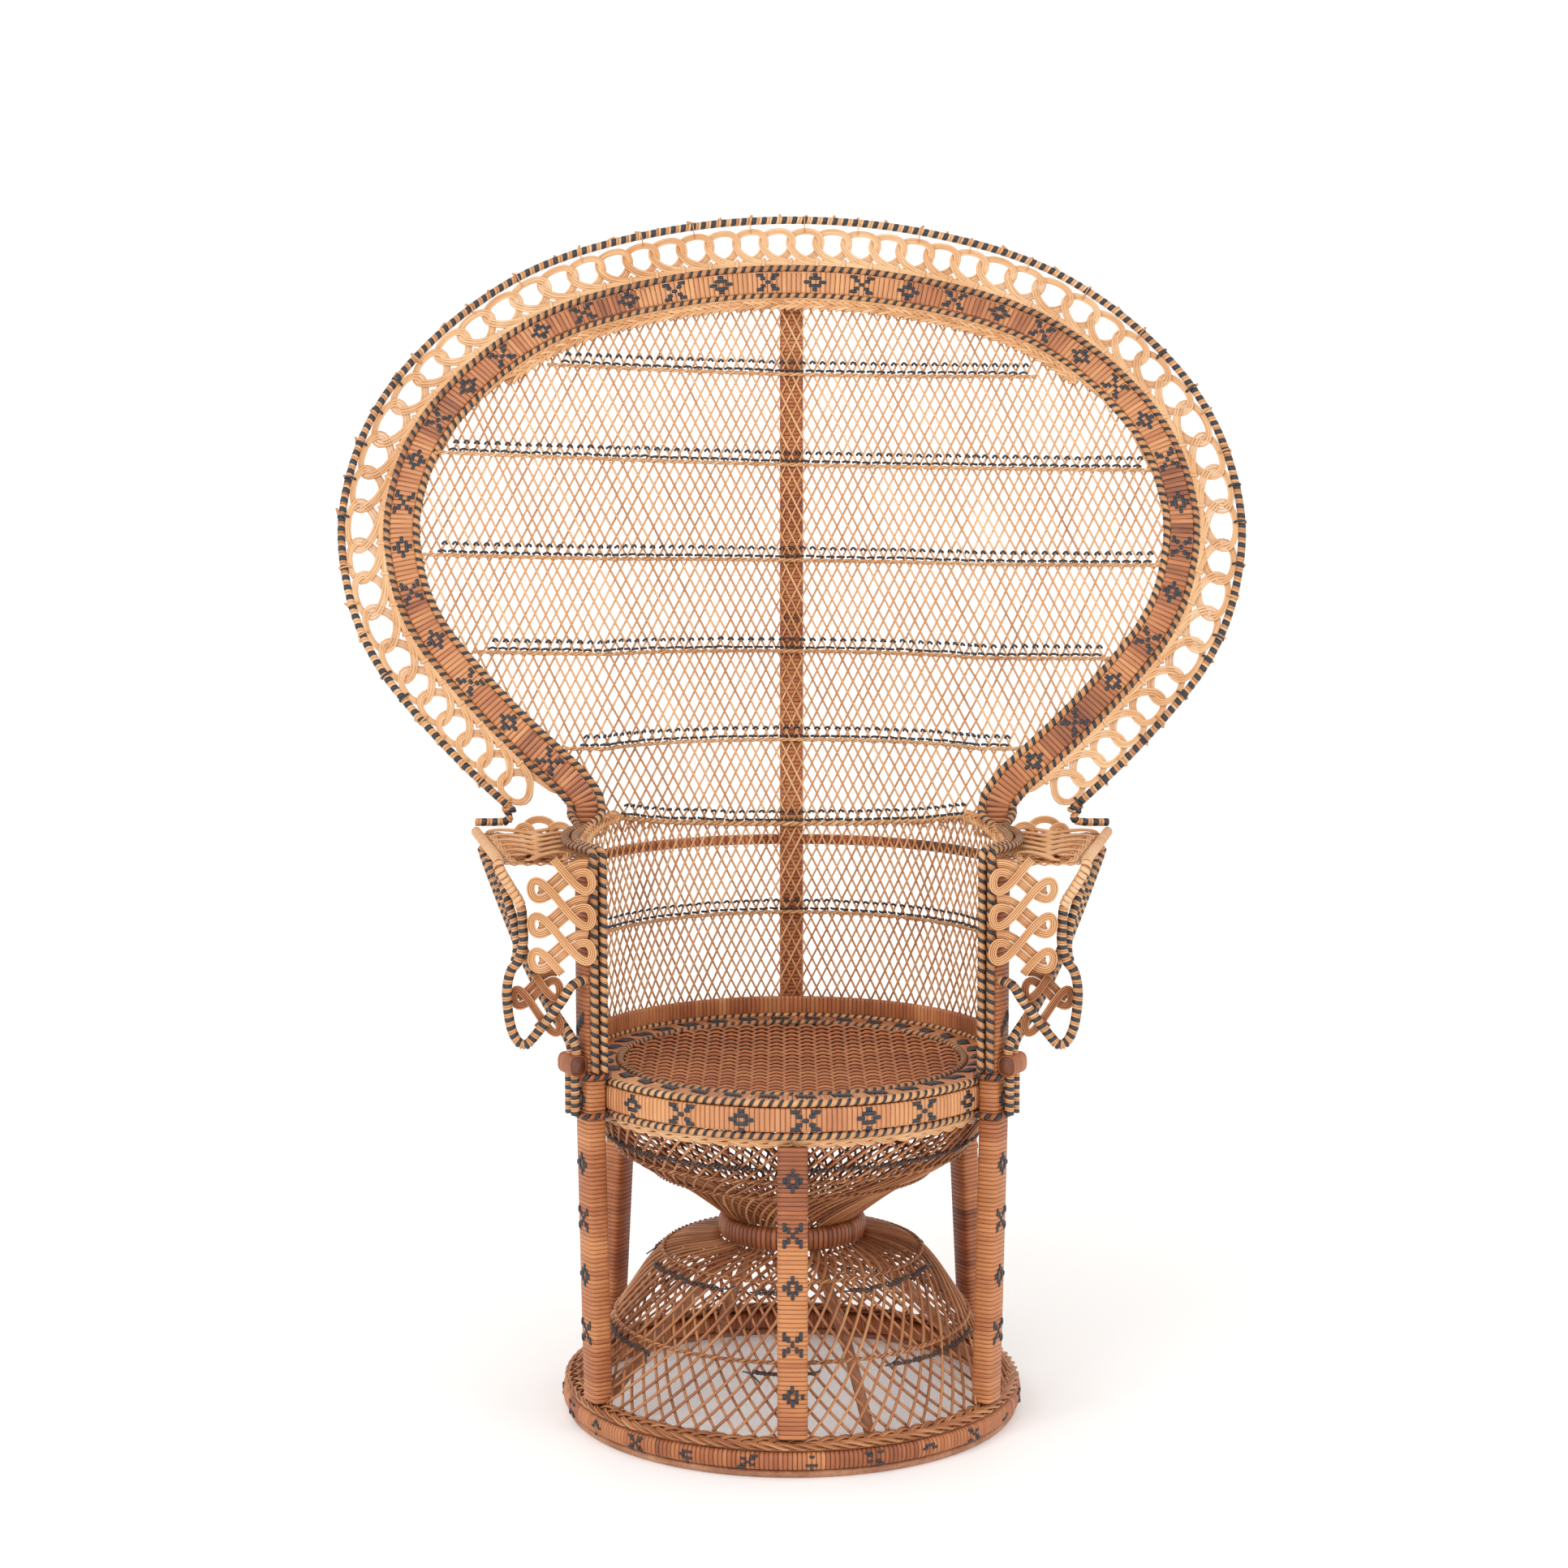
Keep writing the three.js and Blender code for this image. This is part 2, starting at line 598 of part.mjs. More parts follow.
// Stations of the right half: loops are spread over the first ones, and the rest lead to the arm.
const loopEndShare = 0.9; // of the half length, where the row of loops ends
const tailShares = [0.93, 0.965, 1];
const halfShares = Array.from({ length: LOOPS_PER_SIDE + 1 }, (_, i) => (i / LOOPS_PER_SIDE) * loopEndShare)
  .concat(tailShares);
const hoopHalf = halfShares.map((share, i) => {
  const place = (1 + share) / 2;
  const at = hoopCurve.getPointAt(place);
  const along = hoopCurve.getTangentAt(place);
  const upright = i === 0 || i === halfShares.length - 1;
  const normal = upright
    ? new THREE.Vector2(Math.sign(i), 1 - Math.sign(i))
    : new THREE.Vector2(-along.z, along.x).normalize();
  return { x: i === 0 ? 0 : at.x, z: at.z, normal };
});
const hoopLast = hoopHalf.length - 1;

// Point of the hoop's sheet outwards of the inner braid at a station, and in front of the sheet. Stations
// left of the top have negative numbers.
function hoopPoint(station, outwards, ahead = 0) {
  const { x, z, normal } = hoopHalf[Math.abs(station)];
  const height = z + outwards * normal.y;
  const front = hoopFront(height).multiplyScalar(ahead);
  const wide = (x + outwards * normal.x) * (station < 0 ? -1 : 1);
  return new THREE.Vector3(wide, hoopDepth(height), height).add(front);
}

// Direction square to the hoop's sheet, towards the front.
function hoopFront(height) {
  return new THREE.Vector3(0, -1, hoopSlope(height)).normalize();
}

function stationsBetween(first, last) {
  return Array.from({ length: last - first + 1 }, (_, i) => first + i);
}

// Strip that runs along the hoop between two distances from the inner braid.
function hoopStrip(first, last, inner, outer, thickness, ahead) {
  const stations = stationsBetween(first, last).map((station) => {
    const at = hoopPoint(station, (inner + outer) / 2, ahead);
    const from = hoopPoint(station, inner, ahead);
    const across = hoopPoint(station, outer, ahead).sub(from).divideScalar(outer - inner);
    return { at, across, out: hoopFront(at.z) };
  });
  return sweep(stations, flatSection(outer - inner, thickness));
}

// Distances of the hoop's pieces outwards of the inner braid
const bandInner = HOOP_BRAID / 2 + CLEARANCE;
const bandOuter = bandInner + HOOP_BAND_WIDTH;
const outerBraidAway = bandOuter + CLEARANCE * 2 + HOOP_BRAID / 2;
const loopInner = outerBraidAway + HOOP_BRAID / 2 + CLEARANCE;
const loopOuter = loopInner + LOOP_HEIGHT;
const rimRodAway = loopOuter + CLEARANCE + RIM_ROD / 2;

// Points on an arc about the Z axis, spread evenly between the two arm posts by way of the back.
const wallSteps = WALL_COLUMNS * 2;
const wallHalfAngle = Math.PI - POST_ANGLE;
function wallAngle(step) {
  return Math.PI - wallHalfAngle + (2 * wallHalfAngle * step) / wallSteps;
}

// Strip that follows the half-round wall between two radii and two heights.
function wallStrip(inner, outer, bottom, top) {
  const stations = stationsBetween(0, wallSteps).map((step) => {
    const angle = wallAngle(step);
    const out = around(1, angle, 0);
    return { at: around((inner + outer) / 2, angle, (bottom + top) / 2), across: UP, out };
  });
  return sweep(stations, flatSection(top - bottom, outer - inner));
}

const railGap = (LEG_WIDTH / 2 + CLEARANCE * 2) / railRadius;
const railAngles = [wallAngle(0) + railGap, ...stationsBetween(1, wallSteps - 1).map(wallAngle),
  wallAngle(wallSteps) - railGap];
function rail(grow) {
  return rod(railAngles.map((angle) => around(railRadius, angle, railHeight)), RAIL_DIAMETER + grow * 2);
}

const spineTop = HOOP_TOP - HOOP_BRAID / 2 - CLEARANCE * 2;
function spineStation(height) {
  const behind = NET_THICKNESS / 2 + CLEARANCE + SPINE_DEPTH / 2;
  return uprightStation(spineDepth(height) + behind, Math.PI, height);
}
const spine = sweep([
  uprightStation(legFootRadius, Math.PI, legBottom),
  uprightStation(spineRadius, Math.PI, legTop),
  spineStation(wallTop),
  spineStation(spineTop),
], bevelledSection(SPINE_WIDTH, SPINE_DEPTH, LEG_BEVEL));
addPiece('spine', cut(spine, rail(CLEARANCE)), WRAP);
addPiece('back_rail', rail(0), POLE);

// Half-round wall
addPiece('wall_band', wallStrip(
  SEAT_RADIUS - WALL_BAND_THICKNESS, SEAT_RADIUS, wallBandBottom, wallBandTop), WRAP);
const wallRows = 4;
const wallOpenShare = 0.86;
addPiece('wall_lattice', net(WALL_COLUMNS, wallRows, false, wallOpenShare, (column, row, side) => around(
  wallRadius + (side * NET_THICKNESS) / 2,
  wallAngle(column),
  THREE.MathUtils.lerp(wallNetBottom, wallNetTop, row / wallRows),
)), CANE);
const lowRowOuter = wallRadius - NET_THICKNESS / 2 - CLEARANCE * 3;
const lowRowMiddle = (wallNetBottom + wallNetTop) / 2;
const lowRowBottom = lowRowMiddle - TWINE_SIZE / 2;
const lowRow = wallStrip(lowRowOuter - TWINE_SIZE, lowRowOuter, lowRowBottom, lowRowBottom + TWINE_SIZE);
addPiece('twined_row_7', lowRow, BRAID);
const topRow = wallStrip(SEAT_RADIUS - TOP_ROW_DEPTH, SEAT_RADIUS, wallTop - TOP_ROW_HEIGHT, wallTop);
addPiece('twined_row_6', topRow, BRAID);

// Fan. Its outline follows the hoop just inside the inner braid, and its foot stands on the wall, lightly
// notched where the surface folds.
const fanBottom = wallTop + CLEARANCE;
const fanPitch = (HOOP_HALF_WIDTH * 2) / FAN_COLUMNS;
const fanFold = fanPitch / 2;
function fanOutline(inset) {
  const right = stationsBetween(0, hoopLast).map((station) => {
    const { x, z } = hoopPoint(station, -inset);
    return [x, z];
  });
  const bottom = fanBottom + Math.max(inset - bandInner, 0);
  const edge = right[hoopLast][0];
  right[hoopLast] = [edge, bottom];
  const folds = Math.floor(edge / fanFold);
  const foot = stationsBetween(-folds, folds).map((k) => (
    [-k * fanFold, bottom + (k % 2 === 0 ? CLEARANCE : 0)]));
  return [...right.slice(1).reverse().map(([x, z]) => [-x, z]), ...right, ...foot];
}

function fanHalfWidth(height, inset) {
  const edge = fanOutline(inset).slice(hoopLast, hoopLast * 2 + 1);
  const widths = edge.slice(1).flatMap(([x, z], i) => {
    const [fromX, fromZ] = edge[i];
    if ((z - height) * (fromZ - height) > 0 || z === fromZ) return [];
    return [THREE.MathUtils.lerp(fromX, x, (height - fromZ) / (z - fromZ))];
  });
  return Math.min(...widths);
}

// Heights at which the hoop stands over a distance from the middle, lowest first.
function hoopHeights(wide) {
  const heights = hoopHalf.slice(1).flatMap(({ x, z }, i) => {
    const from = hoopHalf[i];
    if ((x - wide) * (from.x - wide) > 0 || x === from.x) return [];
    return [THREE.MathUtils.lerp(from.z, z, (wide - from.x) / (x - from.x))];
  });
  return heights.sort((one, other) => one - other);
}

// The fan's surface runs straight up and back from the wall, or from the lower side of the hoop, to the
// upper side of the hoop.
function fanLine(wide) {
  const heights = hoopHeights(wide);
  const high = heights.at(-1);
  if (wide >= neckHalfWidth) return { low: heights[0], high, depth: hoopDepth(heights[0]) };
  const low = THREE.MathUtils.lerp(fanBottom, neckHeight, wide / neckHalfWidth);
  return { low, high, depth: Math.sqrt(wallRadius ** 2 - wide ** 2) };
}

function fanDepth(wide, height) {
  if (wide >= fanReach) return hoopDepth(height);
  const { low, high, depth } = fanLine(wide);
  const share = THREE.MathUtils.clamp((height - low) / (high - low), 0, 1);
  return THREE.MathUtils.lerp(depth, hoopDepth(high), share);
}

const diamondTallShare = 2; // height of a diamond over its width
const fanOpenShare = 0.84;
const fanBorder = bandInner + TWINE_SIZE;

// From side to side the surface is flat between lines that stand half a diamond apart.
const fanReach = Math.max(...hoopHalf.map(({ x }) => x)) - CLEARANCE;
function fanSurface(x, height) {
  const from = Math.floor(Math.abs(x) / fanFold) * fanFold;
  const to = Math.min(from + fanFold, fanReach);
  const share = (Math.abs(x) - from) / (to - from);
  return THREE.MathUtils.lerp(fanDepth(from, height), fanDepth(to, height), share);
}

function diamonds() {
  const high = (fanPitch * diamondTallShare) / 2;
  const rows = Math.ceil(hoopRise / high) + 1;
  const shapes = [];
  for (let row = 0; row <= rows; row += 1) {
    for (let column = -FAN_COLUMNS; column <= FAN_COLUMNS; column += 1) {
      const [x, z] = [column * fanFold, fanBottom + row * high];
      if ((row + column) % 2 === 0 || z > HOOP_TOP - fanBorder) continue;
      if (Math.abs(x) > fanHalfWidth(Math.max(z, neckHeight), fanBorder)) continue;
      const [halfWide, halfHigh] = [fanFold * fanOpenShare, high * fanOpenShare];
      shapes.push(shapeOf([[x - halfWide, z], [x, z - halfHigh], [x + halfWide, z], [x, z + halfHigh]]));
    }
  }
  return new THREE.ExtrudeGeometry(shapes, { depth: NET_THICKNESS * 2, bevelEnabled: false })
    .rotateX(Math.PI / 2).translate(0, NET_THICKNESS, 0);
}

const fanPlate = uprightPlate(fanOutline(bandInner), [], -NET_THICKNESS / 2, NET_THICKNESS);
const fanInside = uprightPlate(fanOutline(fanBorder), [], -NET_THICKNESS, NET_THICKNESS * 2);
const fan = cut(fanPlate, common(diamonds(), fanInside));
const fanPoints = fan.attributes.position;
for (let i = 0; i < fanPoints.count; i += 1) {
  fanPoints.setY(i, fanPoints.getY(i) + fanSurface(fanPoints.getX(i), fanPoints.getZ(i)));
}
addPiece('fan_lattice', fan, CANE);

// Twined rows across the front of the fan, from the top one down. Each stands off the fan's surface by a
// share of a diamond, because the canes bow forward between the places where they cross.
const rowShares = [0.84, 0.655, 0.46, 0.275, 0.095];
const rowGapShares = [0.029, 0.022, 0.035, 0.029, 0.034];
const topRowReachShare = 0.84;
rowShares.forEach((share, i) => {
  const height = neckHeight + hoopRise * share;
  const reach = Math.min(
    fanHalfWidth(height - TWINE_SIZE, bandInner), fanHalfWidth(height + TWINE_SIZE, bandInner));
  const halfWidth = reach * (i === 0 ? topRowReachShare : 1);
  const folds = Math.floor((halfWidth - TWINE_SIZE) / fanFold);
  const places = [-halfWidth, ...stationsBetween(-folds, folds).map((k) => k * fanFold), halfWidth];
  const stations = places.map((x) => {
    const y = fanSurface(x, height) - (NET_THICKNESS + TWINE_SIZE) / 2 - fanPitch * rowGapShares[i];
    return { at: new THREE.Vector3(x, y, height), across: UP, out: BACK };
  });
  addPiece(`twined_row_${i + 1}`, sweep(stations, flatSection(TWINE_SIZE, TWINE_SIZE)), BRAID);
});

// Right arm's post, and directions about it
const rightPost = uprightStation(postRadius, POST_ANGLE, wallTop);
function besidePost(out, ahead, height) {
  return rightPost.at.clone().setZ(height).addScaledVector(rightPost.out, out)
    .addScaledVector(rightPost.across, -ahead);
}

// The two braids leave the hoop at its neck, lie forward along the arm and go down the front of the post,
// side by side.
const braidOnArm = ARM_HEIGHT + CLEARANCE + HOOP_BRAID / 2;
const braidPitch = HOOP_BRAID + CLEARANCE * 4;
const braidAhead = LEG_WIDTH / 2 + CLEARANCE + HOOP_BRAID / 2;
const armAngleShares = [0.2, 0.4, 0.62, 0.84]; // of the way from the neck to the post
const neckAngle = Math.PI - Math.asin(neckShare);
function armBraid(away, track) {
  const neckStation = hoopPoint(hoopLast - 1, away);
  const bend = hoopPoint(hoopLast, away);
  const onArm = armAngleShares.map((share) => {
    const angle = THREE.MathUtils.lerp(neckAngle, POST_ANGLE, share);
    const radius = THREE.MathUtils.lerp(wallRadius, postRadius, share ** 2) + track;
    return around(radius, angle, braidOnArm);
  });
  const beside = -braidPitch / 2 + track;
  const tail = smooth([
    neckStation,
    new THREE.Vector3(bend.x, bend.y - HOOP_BRAID, braidOnArm + HOOP_BRAID),
    ...onArm,
    besidePost(beside, braidAhead - HOOP_BRAID, braidOnArm),
    besidePost(beside, braidAhead, ARM_HEIGHT),
    besidePost(beside, braidAhead, ARM_HEIGHT - HOOP_BRAID),
  ], ARM_BRAID_STEPS);
  const foot = besidePost(beside, braidAhead, rimTop + CLEARANCE + HOOP_BRAID);
  return [...tail.slice(1), foot];
}

function hoopBraid(away, track, grow = 0) {
  const tail = armBraid(away, track);
  const middle = stationsBetween(1 - hoopLast, hoopLast - 1).map((station) => hoopPoint(station, away));
  const left = tail.map(({ x, y, z }) => new THREE.Vector3(-x, y, z)).reverse();
  return rod([...left, ...middle, ...tail], HOOP_BRAID + grow * 2, BRAID_SIDES);
}

addPiece('hoop_inner_braid', hoopBraid(0, 0), BRAID);
addPiece('hoop_outer_braid', hoopBraid(outerBraidAway, braidPitch), BRAID);
addPiece('hoop_band', hoopStrip(-hoopLast, hoopLast, bandInner, bandOuter, HOOP_BAND_THICKNESS, 0), WRAP);

// Loops: one gap each between the outer braid and the rim rod
const loopOpenShare = 0.6;
const loopCells = stationsBetween(-LOOPS_PER_SIDE, LOOPS_PER_SIDE - 1).map((station) => (
  [[station, 0], [station + 1, 0], [station + 1, 1], [station, 1]]));
addPiece('loop_trim', netOfCells(loopCells, loopOpenShare, ([station, end], side) => (
  hoopPoint(station, end === 0 ? loopInner : loopOuter, (side * LOOP_THICKNESS) / 2))), CANE);

// Rim rod: it curls at each end and comes to lie on the back corner of the arm.
const rimRodOnArm = ARM_HEIGHT + CLEARANCE + RIM_ROD / 2;
const curlShares = [[0.4, 0.8], [0.1, 0.35], [0.08, 0.1], [0.25, 0], [0.6, 0], [1, 0]];
const rimEnd = hoopPoint(LOOPS_PER_SIDE, rimRodAway);
const curlLeft = rimEnd.x - RIM_ROD * 2;
const curl = smooth([rimEnd, ...curlShares.map(([wide, up]) => {
  const height = THREE.MathUtils.lerp(rimRodOnArm, rimEnd.z, up);
  const x = THREE.MathUtils.lerp(curlLeft, ARM_BACK_HALF_WIDTH, wide);
  return new THREE.Vector3(x, hoopDepth(height), height);
})], CURL_STEPS).slice(1);
addPiece('rim_rod', rod([
  ...curl.map(({ x, y, z }) => new THREE.Vector3(-x, y, z)).reverse(),
  ...stationsBetween(-LOOPS_PER_SIDE, LOOPS_PER_SIDE).map((station) => hoopPoint(station, rimRodAway)),
  ...curl,
], RIM_ROD), BRAID);

// Plait under the top of the hoop, in front of the fan
const topPlaitShare = 0.36;
const plaitReach = Math.round(LOOPS_PER_SIDE * topPlaitShare);
const plaitOuter = -bandInner - CLEARANCE;
const plaitAhead = (NET_THICKNESS + TOP_PLAIT_THICKNESS) / 2 + CLEARANCE * 5;
addPiece('top_plait', hoopStrip(
  -plaitReach, plaitReach, plaitOuter - TOP_PLAIT_WIDTH, plaitOuter, TOP_PLAIT_THICKNESS, plaitAhead), CANE);

// Arms. Every piece is drawn for the right side and mirrored for the left.
function addPair(name, geometry, finish) {
  addPiece(`${name}_right`, geometry, finish);
  addPiece(`${name}_left`, mirrored(geometry), finish);
}

// Edge rod: from the back corner forward along the arm, down the front, and round in a scroll to the post.
const armRodHeight = ARM_HEIGHT - ARM_ROD / 2;
const armRodFront = rightPost.at.y - ARM_ROD_LEAD;
const postFace = besidePost(0, LEG_WIDTH / 2, 0);
const scrollShares = [
  [1, 0.03], [0.887, 0.116], [0.79, 0.19], [0.765, 0.28], [0.765, 0.375], [0.82, 0.45], [0.9, 0.5],
  [0.94, 0.6], [0.905, 0.74], [0.83, 0.815], [0.74, 0.83], [0.65, 0.79], [0.5, 0.71], [0.36, 0.63],
  [0.25, 0.56],
];
function scrollPlace([out, down]) {
  return [
    THREE.MathUtils.lerp(postFace.x, ARM_FRONT_HALF_WIDTH, out),
    THREE.MathUtils.lerp(armRodHeight, rimTop, down),
  ];
}
const scrollPoints = scrollShares.map(scrollPlace).map(([x, z]) => new THREE.Vector3(x, armRodFront, z));
const edgeShares = [0, 0.45, 0.93];
const edgeStart = new THREE.Vector3(ARM_BACK_HALF_WIDTH, ARM_BACK_DEPTH, armRodHeight);
const edgeEnd = new THREE.Vector3(ARM_FRONT_HALF_WIDTH, armRodFront, armRodHeight);
const scrollEnd = besidePost(0, 0, scrollPoints.at(-1).z + ARM_ROD / 2);
const edgeRodPath = smooth([
  ...edgeShares.map((share) => edgeStart.clone().lerp(edgeEnd, share)), ...scrollPoints, scrollEnd,
], EDGE_ROD_STEPS);
const grownPost = post(armPostStations(POST_ANGLE), CLEARANCE);
addPair('scroll_rod', cut(rod(edgeRodPath, ARM_ROD), grownPost), BRAID);

// Plaited top: it bears on the wall and the post, and the braids and the edge rod are let into its rim.
const edgeNormal = new THREE.Vector3(edgeStart.y - edgeEnd.y, edgeEnd.x - edgeStart.x, 0).normalize();
const plateEdge = [edgeStart, edgeEnd].map((point) => (
  point.clone().addScaledVector(edgeNormal, -ARM_ROD / 2 - CLEARANCE)));
const plateFront = armRodFront - ARM_ROD / 2;
const plateBack = neckDepth + HOOP_BAND_THICKNESS / 2 + CLEARANCE * 2;
const innerArc = [1, 0.8, 0.6, 0.4, 0.2, 0].map((share) => (
  around(SEAT_RADIUS - TOP_ROW_DEPTH, THREE.MathUtils.lerp(POST_ANGLE, neckAngle, share), 0)));
const frontCorner = besidePost(-LEG_DEPTH / 2, LEG_WIDTH / 2, 0);
const plateTop = new THREE.ExtrudeGeometry(shapeOf([
  [neckHalfWidth, plateBack],
  ...innerArc.map(({ x, y }) => [x, y]),
  [frontCorner.x, frontCorner.y],
  [postFace.x, postFace.y],
  [postFace.x + LEG_DEPTH / 2, plateFront],
  [plateEdge[1].x, plateFront],
  [plateEdge[0].x, plateBack],
]), { depth: ARM_THICKNESS, bevelEnabled: false }).translate(0, 0, armBottom);
const armTop = cut(
  plateTop,
  hoopBraid(0, 0, CLEARANCE),
  hoopBraid(outerBraidAway, braidPitch, CLEARANCE),
  rod(edgeRodPath, ARM_ROD + CLEARANCE * 2),
);
addPair('arm_top', armTop, CANE);

// Cup on the outer side of the post, with the two side rods standing in it
const cupRiseShare = 0.07;
const cupHeight = THREE.MathUtils.lerp(rimTop, ARM_HEIGHT, cupRiseShare);
const cupOut = LEG_DEPTH / 2 + CLEARANCE + CUP_DEPTH / 2;
const sideRodGap = SIDE_ROD + CLEARANCE * 2 + CUP_WALL;
const sideBendShares = [[0.42, 0.48], [0.72, 0.72]];
function sideRod(ahead, edgeShare, grow = 0) {
  const seatPoint = besidePost(cupOut, ahead, cupHeight);
  const head = edgeStart.clone().lerp(edgeEnd, edgeShare).setZ(armRodHeight - ARM_ROD / 2 - CLEARANCE);
  const points = [
    head,
    head.clone().setZ(head.z - SIDE_ROD),
    ...sideBendShares.map(([inward, down]) => head.clone().lerp(seatPoint, inward)
      .setZ(THREE.MathUtils.lerp(head.z, cupHeight, down))),
    seatPoint.clone().setZ(cupHeight + CUP_HEIGHT),
    seatPoint,
    seatPoint.clone().setZ(cupHeight - CUP_HEIGHT),
    seatPoint.clone().setZ(cupHeight - STUB_LENGTH - CUP_HEIGHT / 2),
  ];
  return rod([head, ...smooth(points.slice(1), SIDE_ROD_STEPS)], SIDE_ROD + grow * 2);
}
const sideRodSpots = { front: [sideRodGap / 2, 0.66], rear: [-sideRodGap / 2, 0.36] };
const cupEnds = [-1 / 2, 1 / 2].map((end) => besidePost(cupOut, 0, cupHeight + CUP_HEIGHT * end));
const cupBlock = sweep(cupEnds.map((at) => ({ ...rightPost, at })), flatSection(LEG_WIDTH, CUP_DEPTH));
Object.entries(sideRodSpots).forEach(([name, spot]) => addPair(`side_rod_${name}`, sideRod(...spot), BRAID));
const cupBores = Object.values(sideRodSpots).map((spot) => sideRod(...spot, CLEARANCE));
addPair('rod_cup', cut(cupBlock, ...cupBores), WRAP);

// Knotted panel in front, between the post and the front of the edge rod
const upperPanelShares = [
  [-0.05, -0.02], [0.95, -0.02], [0.79, 0.11], [0.79, 0.44], [0.66, 0.49], [0.08, 0.49], [-0.05, 0.44],
];
const eyeShares = [[0.16, 0.1], [0.55, 0.1], [0.16, 0.25], [0.55, 0.25], [0.16, 0.39], [0.55, 0.39]];
const [eyeOutShare, eyeDownShare] = [0.09, 0.06];
const eyes = eyeShares.map(([out, down]) => [
  [out - eyeOutShare, down],
  [out, down + eyeDownShare],
  [out + eyeOutShare, down],
  [out, down - eyeDownShare],
].map(scrollPlace));
const upperPanelBack = plateFront - CLEARANCE;
addPair('upper_panel', uprightPlate(
  upperPanelShares.map(scrollPlace), eyes, upperPanelBack - PANEL_THICKNESS, PANEL_THICKNESS), CANE);

// Knotted panel behind the scroll
const lowerPanelShares = scrollShares.slice(6, -1).concat([[0.36, 0.5]]);
const rodFlatShare = Math.cos(Math.PI / ROD_SIDES);
const lowerPanelFront = armRodFront + (ARM_ROD / 2) * rodFlatShare + CLEARANCE;
addPair('lower_panel', uprightPlate(
  lowerPanelShares.map(scrollPlace), [], lowerPanelFront, PANEL_THICKNESS), CANE);

const outlineBox = new THREE.Box3().setFromObject(chair);
chair.position.y = -(outlineBox.min.y + outlineBox.max.y) / 2;

export default chair;
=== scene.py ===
"""A woven rattan peacock chair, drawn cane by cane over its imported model."""
import math

import bmesh
import bpy
import numpy as np
from bpy.props import FloatProperty, FloatVectorProperty, IntProperty, PointerProperty
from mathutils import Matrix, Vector


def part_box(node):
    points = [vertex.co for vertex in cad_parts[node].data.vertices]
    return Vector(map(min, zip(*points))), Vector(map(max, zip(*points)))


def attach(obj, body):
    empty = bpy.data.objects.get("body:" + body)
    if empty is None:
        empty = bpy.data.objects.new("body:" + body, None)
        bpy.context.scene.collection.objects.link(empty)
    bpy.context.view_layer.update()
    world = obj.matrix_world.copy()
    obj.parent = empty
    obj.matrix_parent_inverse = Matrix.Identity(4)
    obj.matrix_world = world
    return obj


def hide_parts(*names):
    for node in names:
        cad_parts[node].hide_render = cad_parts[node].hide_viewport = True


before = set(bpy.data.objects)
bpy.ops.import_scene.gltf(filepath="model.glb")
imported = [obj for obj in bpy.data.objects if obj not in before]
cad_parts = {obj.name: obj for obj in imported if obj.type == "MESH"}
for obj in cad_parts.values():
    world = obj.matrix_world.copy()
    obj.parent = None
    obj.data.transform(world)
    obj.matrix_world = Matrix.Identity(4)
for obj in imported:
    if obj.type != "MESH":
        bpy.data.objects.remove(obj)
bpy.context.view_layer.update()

bl_info = {
    "name": "Peacock Chair",
    "version": (1, 0, 0),
    "blender": (4, 5, 0),
    "location": "View3D > Sidebar > Peacock Chair",
    "description": "Weaves a rattan peacock chair over its packed model",
    "category": "Object",
}

# Lengths below are in millimetres about the seat's middle, with the front towards -Y.
MM = 0.001
SEAT_LOW, SEAT_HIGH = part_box("waist_ring")
SEAT_MIDDLE = np.array([0.0, (SEAT_LOW.y + SEAT_HIGH.y) / 2, 0.0])
DEGREE = math.pi / 180

# Base
BASE_HOOP_RADIUS = 258
BASE_HOOP_HEIGHT = 20
BASE_HOOP_SIZE = (22, 26)
FOOT_HEIGHT = 4.5
FOOT_SIZE = (9, 16)
BASE_PLAIT_HEIGHT = 37.3
WAIST_HEIGHT = 216.5
WAIST_SIZE = (27, 19)
WAIST_RADIUS = 77.5
DOME_LEVELS = [(254, 43.6), (213.5, 98), (194, 131), (151, 185), (85, 202.7)]
FUNNEL_LEVELS = [(74.7, 230.4), (130.5, 272.3), (200.5, 315.7), (234, 365.8)]
ARC_STATIONS = 60
KNUCKLE_REACH = 0.0372  # share of the spacing of a strut's knuckles, on each side of one

# Uprights
LEG_SIZE = (34, 26)
LEG_FOOT = 43.6
LEG_HEAD = 365.8
LEG_FOOT_RADIUS = 256
LEG_HEAD_RADIUS = 236.5
POST_RADIUS = 262.3
POST_ANGLE = 60 * DEGREE
POST_TOP = 663.7
SPINE_SIZE = (30, 24)
SPINE_TOP = 1306
SPINE_RADIUS = 261.3

# Seat and wall
WALL_RADIUS = 247
RIM_TOP = 420
SEAT_RADIUS = 197
WEAVE_HEIGHT = 413.6
SEAT_SAG = 5.5
BORDER_RADIUS = 222.7
RIM_BRAID_RADIUS = 244.5
APRON_RADIUS = 245.5
WALL_HALF_TURN = 115.5 * DEGREE
WALL_NET = (438, 686)  # its foot, and the highest that it can reach
LATTICE_LEAN = 0.5  # sideways run of a cane for its height
ARM_TOP = 674
CUP_AWAY = 23.3
CUP_HEIGHT = 437.8
KNOT_LAG = 1.06  # makes a knotted band turn back at each eye and cross itself

